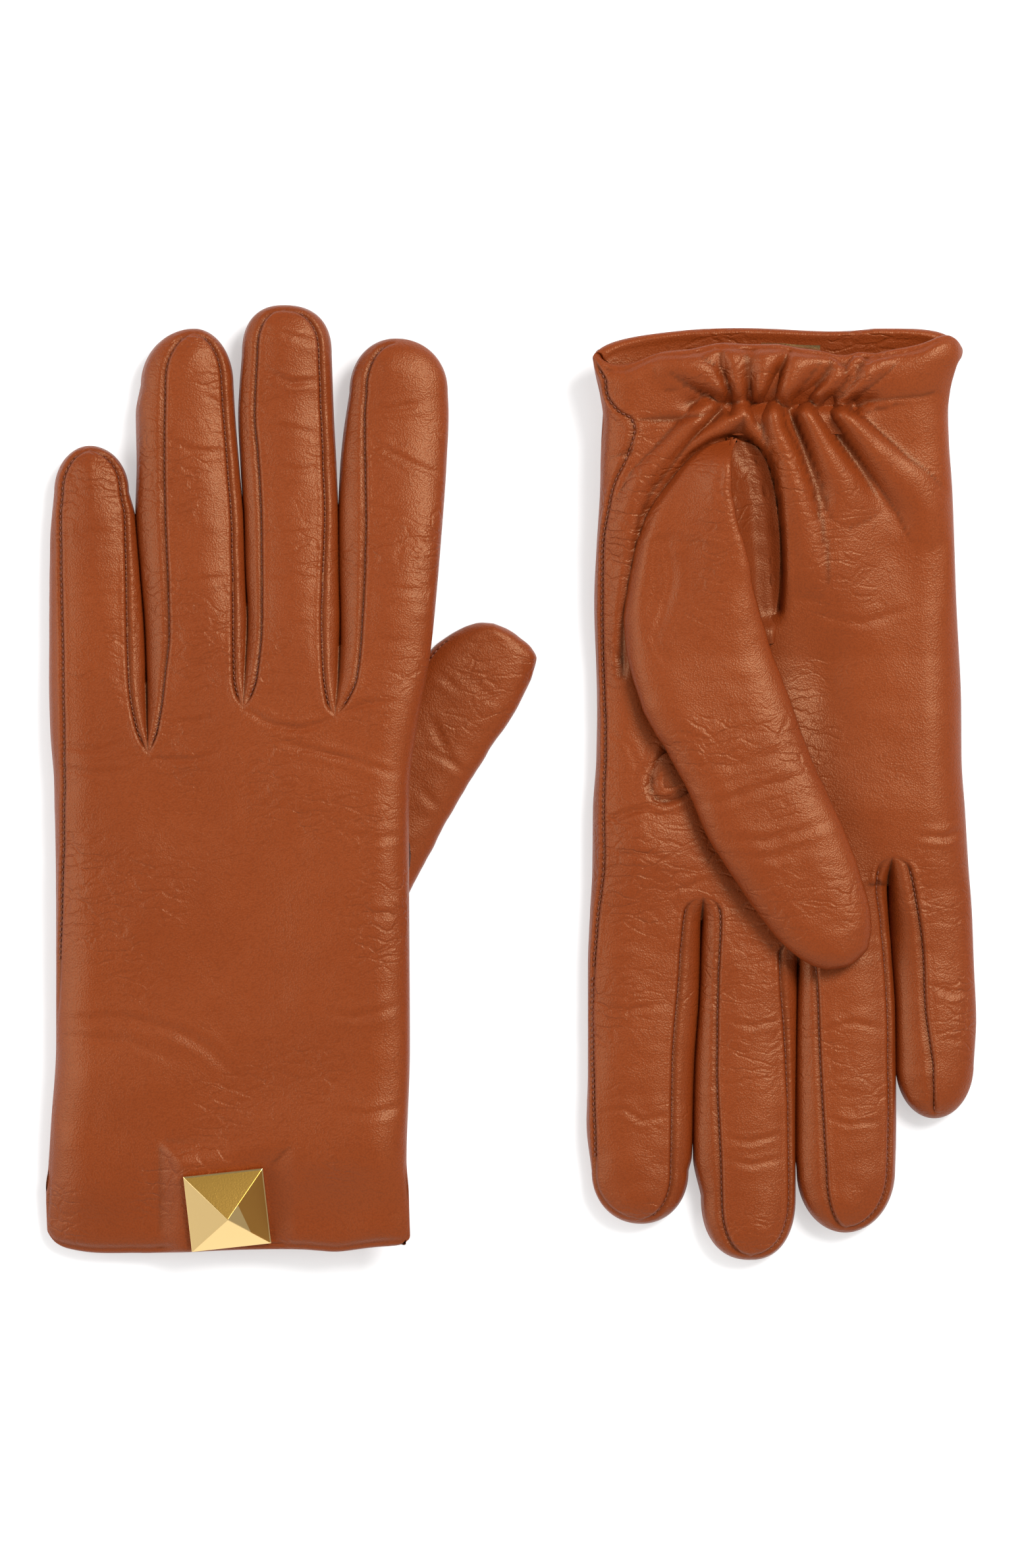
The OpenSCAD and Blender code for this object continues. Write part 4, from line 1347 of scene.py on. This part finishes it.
def right_thumb_underside(top, left, right):
    """The lower side, which closes the tube. Only the rows of the free part are used."""
    q = spread(16, 0.6)
    flat = across_thumb(right, left, q)
    palm = right_palm_height(flat[..., 0], flat[..., 1])
    width = np.linalg.norm(right - left, axis=1)[:, None]
    sag = 3.5 * rounded(np.minimum(q, 1 - q)[None, :] * width, 5)
    start, end = top[:, -1, 2], top[:, 0, 2]
    level = start[:, None] * (1 - q)[None, :] + end[:, None] * q[None, :]
    z = np.maximum(level - sag, np.minimum(palm + 0.25, level))
    z[:, 0], z[:, -1] = start, end
    return np.dstack([flat, z[..., None]])


def right_thumb_web(crest, at, down):
    """Leather that hangs from the fold down to the oval seam's right side, in shade."""
    arc = np.array(RIGHT_ARC)
    foot = np.column_stack([through(list(enumerate(arc[:, i])))(at) for i in (0, 1)])
    drop = smoothstep(down / 0.3)[None, :]
    reach = (down ** 1.4)[None, :, None]
    flat = crest[:, None, :2] + (foot - crest[:, :2])[:, None, :] * reach
    flat[..., 0] -= 1.6 * np.sin(math.pi * np.clip(down / 0.6, 0, 1))[None, :]
    d, _ = nearest(flat.reshape(-1, 2), GUSSET_MIDDLE)
    valley = 3.4 * (1 - smoothstep((d.reshape(flat.shape[:2]) - 1.0) / 5.5))
    low = right_palm_height(flat[..., 0], flat[..., 1]) - valley
    low = low + 0.9 * np.sin(math.pi * down)[None, :] ** 0.7 - 0.15
    z = crest[:, 2][:, None] * (1 - drop) + low * drop
    wrinkle = 0.12 * noise(flat[..., 0] * 0.9, flat[..., 1] / 11, 31)
    z = z + wrinkle * np.sin(math.pi * down)[None, :]
    return np.dstack([flat, z[..., None]])


def right_thumb_pieces(looks):
    """The right thumb lies on the palm: its base stands up as a fold, and the rest hangs over."""
    left, right, at = rows_between(RIGHT_THUMB, 120)
    top = right_thumb_top(left, right, at)
    free = int(np.searchsorted(at, THUMB_FREE))
    fold_end = int(np.searchsorted(at, FOLD_END)) + 1
    down = np.linspace(0, 1, 22)
    labels = np.full((len(at) - 1, top.shape[1] - 1), "thumb", object)
    labels[:free] = "thumb_base"
    skin = Skin()
    skin.grid(top, labels.astype(str))
    skin.grid(right_thumb_underside(top, left, right)[free:], "thumb")
    hung = skin.grid(right_thumb_web(top[:fold_end, -1], at[:fold_end], down), "thumb_base")
    where = skin.weld()
    if skin.normals()[:, 2].mean() < 0:
        skin.f = skin.f[:, ::-1]
    painted_shade = np.zeros(len(skin.v))
    # Painted shade on the leather that hangs under the fold, darker away from the crest
    painted_shade[where[hung]] = np.minimum(0.2, 1.2 * down)[None, :]
    finish_thumb(skin, "right", RIGHT_THUMB_CREASES, looks, painted_shade)


def finish_thumb(skin, glove, creases, looks, painted_shade):
    """Adds waves and creases to a thumb's skin, and makes its leather pieces."""
    normals = skin.normals()
    p = skin.v[:, :2]
    up = smoothstep((normals[:, 2] - 0.1) / 0.4)
    moved = 0.11 * noise(p[:, 0] / 6, p[:, 1] / 3, 41) + 0.07 * noise(p[:, 0] / 3, p[:, 1] / 1.6, 42)
    for line, depth, width in creases:
        moved += crease(p, line, depth, width) * up
    skin.v = skin.v + normals * moved[:, None]
    normals = skin.normals()
    for label in skin.names:
        piece = thick_piece(f"{glove}_{label}.skin", skin, normals, painted_shade, label, THUMB_LEATHER,
                            looks["leather"])
        place_piece(piece, glove, label)


def left_thumb_pieces(looks):
    """The left thumb lies on the table, folded under the hand, with one seam of stitches."""
    left, right, at = rows_between(LEFT_THUMB, 90)
    width = np.linalg.norm(right - left, axis=1)[:, None]
    widest = 3.0
    q = spread(30, 0.75)
    flat = across_thumb(left, right, q)
    edge = np.minimum(q, 1 - q)[None, :] * width
    ends = (rounded((15 - at) * 2.6, 6) * rounded(at * 2.6, 6))[:, None]
    high = widest + 3.8 * rounded(edge, 8) * (0.3 + 0.7 * ends)
    low = widest - 2.8 * rounded(edge, 5)
    top = np.dstack([flat, high[..., None]])
    skin = Skin()
    skin.grid(top, "thumb")
    skin.grid(np.dstack([flat[:, ::-1], low[..., None]]), "thumb")
    skin.weld()
    if skin.normals()[np.argmax(skin.v[:, 2])][2] < 0:
        skin.f = skin.f[:, ::-1]
    finish_thumb(skin, "left", LEFT_THUMB_CREASES, looks, np.zeros(len(skin.v)))
    run = top[(at > 5) & (at < 11.5), 4]
    up = np.tile([-0.35, 0.35, 0.87], (len(run), 1))
    piece = stitch_piece("left_thumb_stitches", [(run, up)], looks["thread"])
    attach(piece, "left", "thumb_stitches")


def quirk_pieces(looks):
    """The small gusset beside each thumb's base: a shallow dome with a wavy edge."""
    turn = np.linspace(0, 2 * math.pi, 33)[None, :]
    rings = np.linspace(0, 1, 9)[:, None]
    dome = 1.1 * np.sqrt(np.maximum(1 - rings**2, 0)) + 0.15 * np.cos(3 * turn) * rings
    for glove, (x, y), level, up in (
        ("right", (38.4, 1.8), 10.3, 1), ("left", (-36.5, -4), 8.4, -1),
    ):
        x = x + rings * 5.0 * np.cos(turn)
        y = y + rings * 5.9 * np.sin(turn)
        skin = Skin()
        skin.grid(np.dstack([x, y, level + up * dome]), "thumb_quirk", flip=up < 0)
        skin.weld()
        if skin.normals()[0][2] * up < 0:
            skin.f = skin.f[:, ::-1]
        # Painted shade darkens the whole quirk a little
        own_skin_piece(glove, "thumb_quirk", "skin", skin, THUMB_LEATHER, looks["fourchette"],
                       painted_shade=0.25)


def left_thumb_base(looks):
    """A funnel that joins the palm to the thumb below it, out of sight."""
    turn = np.linspace(0, 2 * math.pi, 41)[None, :]
    rise = np.linspace(0, 1, 7)[:, None]
    radius, low = 10.5, 3.4
    reach = 1 + 0.5 * rise**2
    x = -39.5 + radius * reach * np.cos(turn)
    y = -17 + radius * reach * np.sin(turn)
    high = base_height("left", x, y) + 0.2
    skin = Skin()
    skin.grid(np.dstack([x, y, low + (high - low) * rise]), "thumb_base")
    skin.weld()
    own_skin_piece("left", "thumb_base", "skin", skin, THUMB_LEATHER, looks["leather"])


def thumb_linings(looks):
    """The flat knitted tube inside each thumb."""
    for glove, pairs, first in (("left", LEFT_THUMB, 2), ("right", RIGHT_THUMB, 10)):
        left, right, at = rows_between(pairs[first:-3], 24)
        q = spread(12, 0.7)
        flat = across_thumb(left, right, 0.14 + 0.72 * q)
        level = 3.3 if glove == "left" else right_palm_height(flat[..., 0], flat[..., 1]) + 3.4
        dome = 1.3 * tube_profile(q)[None, :] * np.ones((len(at), 1))
        skin = Skin()
        skin.grid(np.dstack([flat, level + dome]), "thumb_lining")
        skin.grid(np.dstack([flat, level - dome])[:, ::-1], "thumb_lining")
        skin.weld()
        own_skin_piece(glove, "thumb_lining", "knit", skin, THUMB_LINING, looks["lining"])


# ---------------------------------------------------------------- studs

def quad_rings(levels):
    """Side faces between square rings of four points each."""
    faces = []
    for level in range(levels):
        for i in range(4):
            a, b = level * 4 + i, level * 4 + (i + 1) % 4
            faces.append([a, b, b + 4, a + 4])
    return faces


def stud_mesh(name, place, looks):
    """A square pyramid with a short upright rim and slightly rounded edges."""
    half, rim, peak, soft = STUD_HALF, 1.6, 6.6, 0.35
    square = np.array([(-1, -1), (1, -1), (1, 1), (-1, 1)], float)
    rings = [(half - 0.2, 0), (half, 0.2), (half, rim - soft / 2), (half - soft, rim + soft / 3)]
    points = [(*(c * size), z) for size, z in rings for c in square] + [(0, 0, rim + peak)]
    faces = [[3, 2, 1, 0]] + quad_rings(3)
    # One facet is split into a bright upper part and a lower part in painted shade, and the next one is
    # brushed and darker, a painted reflection of darkness
    apex = np.array([0, 0, rim + peak])
    for corner, part in ((13, 0.55), (14, 0.3)):
        points.append(tuple(apex + (np.array(points[corner]) - apex) * part))
    faces += [[12, 13, 17, 16], [17, 18, 16], [13, 14, 18, 17], [14, 15, 16, 18], [15, 12, 16]]
    obj = make_mesh(name, np.array(points), faces, material=looks["gold"], smooth=False)
    obj.data.materials.append(looks["brushed_dark_reflection"])
    obj.data.materials.append(looks["shaded"])
    obj.data.polygons[-2].material_index = 1
    obj.data.polygons[-3].material_index = 2
    bevel = obj.modifiers.new("bevel", "BEVEL")
    bevel.width = 0.00022
    bevel.segments = 3
    bevel.limit_method = "ANGLE"
    bevel.angle_limit = 0.3
    bevel.harden_normals = True
    obj.data.polygons.foreach_set("use_smooth", [True] * len(obj.data.polygons))
    obj.data.transform(place)
    return obj


def plate_mesh(name, place, looks):
    """The square plate inside the cuff that a stud is fixed to."""
    half, low, high = 7, -3.0, -2.2
    square = ((-half, -half), (half, -half), (half, half), (-half, half))
    points = [(x, y, z) for z in (low, high) for x, y in square]
    faces = [[3, 2, 1, 0], [4, 5, 6, 7]] + quad_rings(1)
    obj = make_mesh(name, np.array(points), faces, material=looks["gold"], smooth=False)
    obj.data.transform(place)
    return obj


def stud_place(glove):
    """Where a stud's base lies. The left one is on top of its cuff, the right one faces the table."""
    if glove == "left":
        level, _ = stud_seat(np.array(STUD_U), np.array(STUD_V))
        at = Vector((STUD_U, STUD_V, float(level) - STUD_SINK)) * MM
        turn = Matrix.Rotation(math.radians(STUD_PITCH), 4, "X")
        turn = turn @ Matrix.Rotation(math.radians(STUD_ROLL), 4, "Y")
        return Matrix.Translation(at) @ turn @ Matrix.Rotation(math.radians(STUD_TURN), 4, "Z")
    at = Vector(RIGHT_STUD) * MM
    place = Matrix.Translation(at) @ Matrix.Rotation(math.radians(180 + RIGHT_STUD_SLOPE), 4, "X")
    return place @ Matrix.Rotation(math.radians(RIGHT_STUD_TURN), 4, "Z")


def studs(looks):
    """Both studs and their backing plates."""
    for glove in ("left", "right"):
        place = stud_place(glove)
        place_piece(stud_mesh(f"{glove}_stud.gold", place, looks), glove, "stud")
        plate = plate_mesh(f"{glove}_stud_plate.gold", place, looks)
        place_piece(plate, glove, "stud_plate")


# ---------------------------------------------------------------- scene

def floor_material():
    """White paper that glows a little, so the gloves' shadows on it stay light."""
    material, _, shader = new_material("floor_white")
    shader.inputs["Base Color"].default_value = (0.6, 0.6, 0.6, 1)
    shader.inputs["Roughness"].default_value = 0.9
    shader.inputs["Specular IOR Level"].default_value = 0.0
    shader.inputs["Emission Color"].default_value = (1, 1, 1, 1)
    shader.inputs["Emission Strength"].default_value = 0.45
    return material


def add_stage():
    """A plain floor, 6 m wide."""
    mesh = bpy.data.meshes.new("floor")
    half = 3.0
    points = [(-half, -half, 0), (half, -half, 0), (half, half, 0), (-half, half, 0)]
    mesh.from_pydata(points, [], [(0, 1, 2, 3)])
    floor = bpy.data.objects.new("floor", mesh)
    bpy.context.scene.collection.objects.link(floor)
    mesh.materials.append(floor_material())


def add_light(name, at, size, watts):
    """A round soft light that points at the middle of the row."""
    light = bpy.data.lights.new(name, "AREA")
    light.shape = "DISK"
    light.size = size
    light.energy = watts
    obj = bpy.data.objects.new(name, light)
    obj.location = at
    obj.rotation_euler = (Vector((0, 0, 0)) - Vector(at)).to_track_quat("-Z", "Y").to_euler()
    bpy.context.scene.collection.objects.link(obj)


def add_world():
    """A white room that is darker towards one side and overhead, for the leather to reflect."""
    world = bpy.data.worlds.new("studio")
    world.use_nodes = True
    tree = world.node_tree
    background = tree.nodes["Background"]
    background.inputs["Strength"].default_value = 0.87
    place = node(tree, "ShaderNodeTexCoord").outputs["Generated"]
    split = node(tree, "ShaderNodeSeparateXYZ")
    tree.links.new(place, split.inputs["Vector"])
    toward = node(tree, "ShaderNodeVectorMath", operation="DOT_PRODUCT")
    toward.inputs[1].default_value = (0.6, 0.8, 0)
    tree.links.new(place, toward.inputs[0])
    aside = remap(tree, toward.outputs["Value"], -0.4, 0.8, kind="SMOOTHSTEP")
    overhead = remap(tree, split.outputs["Z"], 0.72, 0.94, kind="SMOOTHSTEP")
    colour = mixed(tree, aside, (1.0, 1.0, 1.0), (0.25, 0.24, 0.23))
    colour = mixed(tree, overhead, colour, (0.12, 0.12, 0.12))
    tree.links.new(colour, background.inputs["Color"])
    bpy.context.scene.world = world


def add_camera():
    """A camera straight above the row. Its picture is view high at the gloves' middle level."""
    sensor, height, level, view = 36, 1.5, 0.010, 0.3719
    lens = bpy.data.cameras.new("camera")
    lens.sensor_fit = "VERTICAL"
    lens.sensor_height = sensor
    lens.lens = sensor * (height - level) / view
    camera = bpy.data.objects.new("camera", lens)
    camera.location = (0, 0, height)
    bpy.context.scene.collection.objects.link(camera)
    bpy.context.scene.camera = camera


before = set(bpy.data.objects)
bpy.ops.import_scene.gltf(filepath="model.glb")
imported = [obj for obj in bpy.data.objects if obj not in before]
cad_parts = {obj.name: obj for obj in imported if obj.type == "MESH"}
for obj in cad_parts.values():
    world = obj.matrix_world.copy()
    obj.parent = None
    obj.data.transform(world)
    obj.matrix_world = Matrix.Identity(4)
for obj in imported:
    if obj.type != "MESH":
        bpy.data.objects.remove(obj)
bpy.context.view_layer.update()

TAN = (0.222, 0.0378, 0.0062)
FOURCHETTE_TAN = (0.211, 0.0360, 0.0058)
# Colour of the painted shade in seams, grooves and hollows
PAINTED_SHADE_TAN = (0.04, 0.007, 0.0018)
GOLD = (0.80, 0.56, 0.24)
# Painted light on the stud's facets: the shaded gold is painted shade with the leather's brown reflected
# in it, and the brushed gold is darker as well as rougher, a painted reflection of darkness
SHADED_GOLD = (0.52, 0.25, 0.055)
BRUSHED_GOLD_DARK_REFLECTION = (0.54, 0.31, 0.065)
LOOKS = {
    "leather": leather_material("tan_leather", TAN, PAINTED_SHADE_TAN, 0.39, 0.00012),
    "fourchette": leather_material("tan_fourchette", FOURCHETTE_TAN, PAINTED_SHADE_TAN, 0.39, 0.00009),
    "thread": plain_material("thread", (0.155, 0.033, 0.009), 0.5),
    "lining": plain_material("knit_lining", (0.20, 0.10, 0.055), 0.95, grain=0.0004, scale=700.0),
    "elastic": plain_material("elastic_tape", (0.75, 0.7, 0.62), 0.8, grain=0.0003),
    "gold": plain_material("polished_gold", GOLD, 0.17, 1.0, grain=0.00001, scale=500.0),
    # Gold with painted shade, and brushed gold darkened as a painted reflection
    "shaded": plain_material("gold_in_shade", SHADED_GOLD, 0.22, 1.0, grain=0.00001, scale=500.0),
    "brushed_dark_reflection": plain_material("brushed_gold", BRUSHED_GOLD_DARK_REFLECTION, 0.33, 1.0, grain=0.00004, scale=2500.0),
}
# Name, place, width and power of each light
LIGHTS = [
    ("key", (0.72, 0.66, 1.25), 0.6, 24),
    ("sheen", (0.5, 0.42, 1.42), 0.9, 5),
    ("fill", (-1.45, 0.1, 0.85), 1.1, 11.5),
]
for glove_spec in (LEFT, RIGHT):
    leather_glove(glove_spec, LOOKS)
    lining_pieces(glove_spec, LOOKS)
right_thumb_pieces(LOOKS)
left_thumb_pieces(LOOKS)
quirk_pieces(LOOKS)
left_thumb_base(LOOKS)
thumb_linings(LOOKS)
studs(LOOKS)

add_stage()
add_world()
for light_values in LIGHTS:
    add_light(*light_values)
add_camera()
bpy.context.scene.view_settings.view_transform = "Standard"
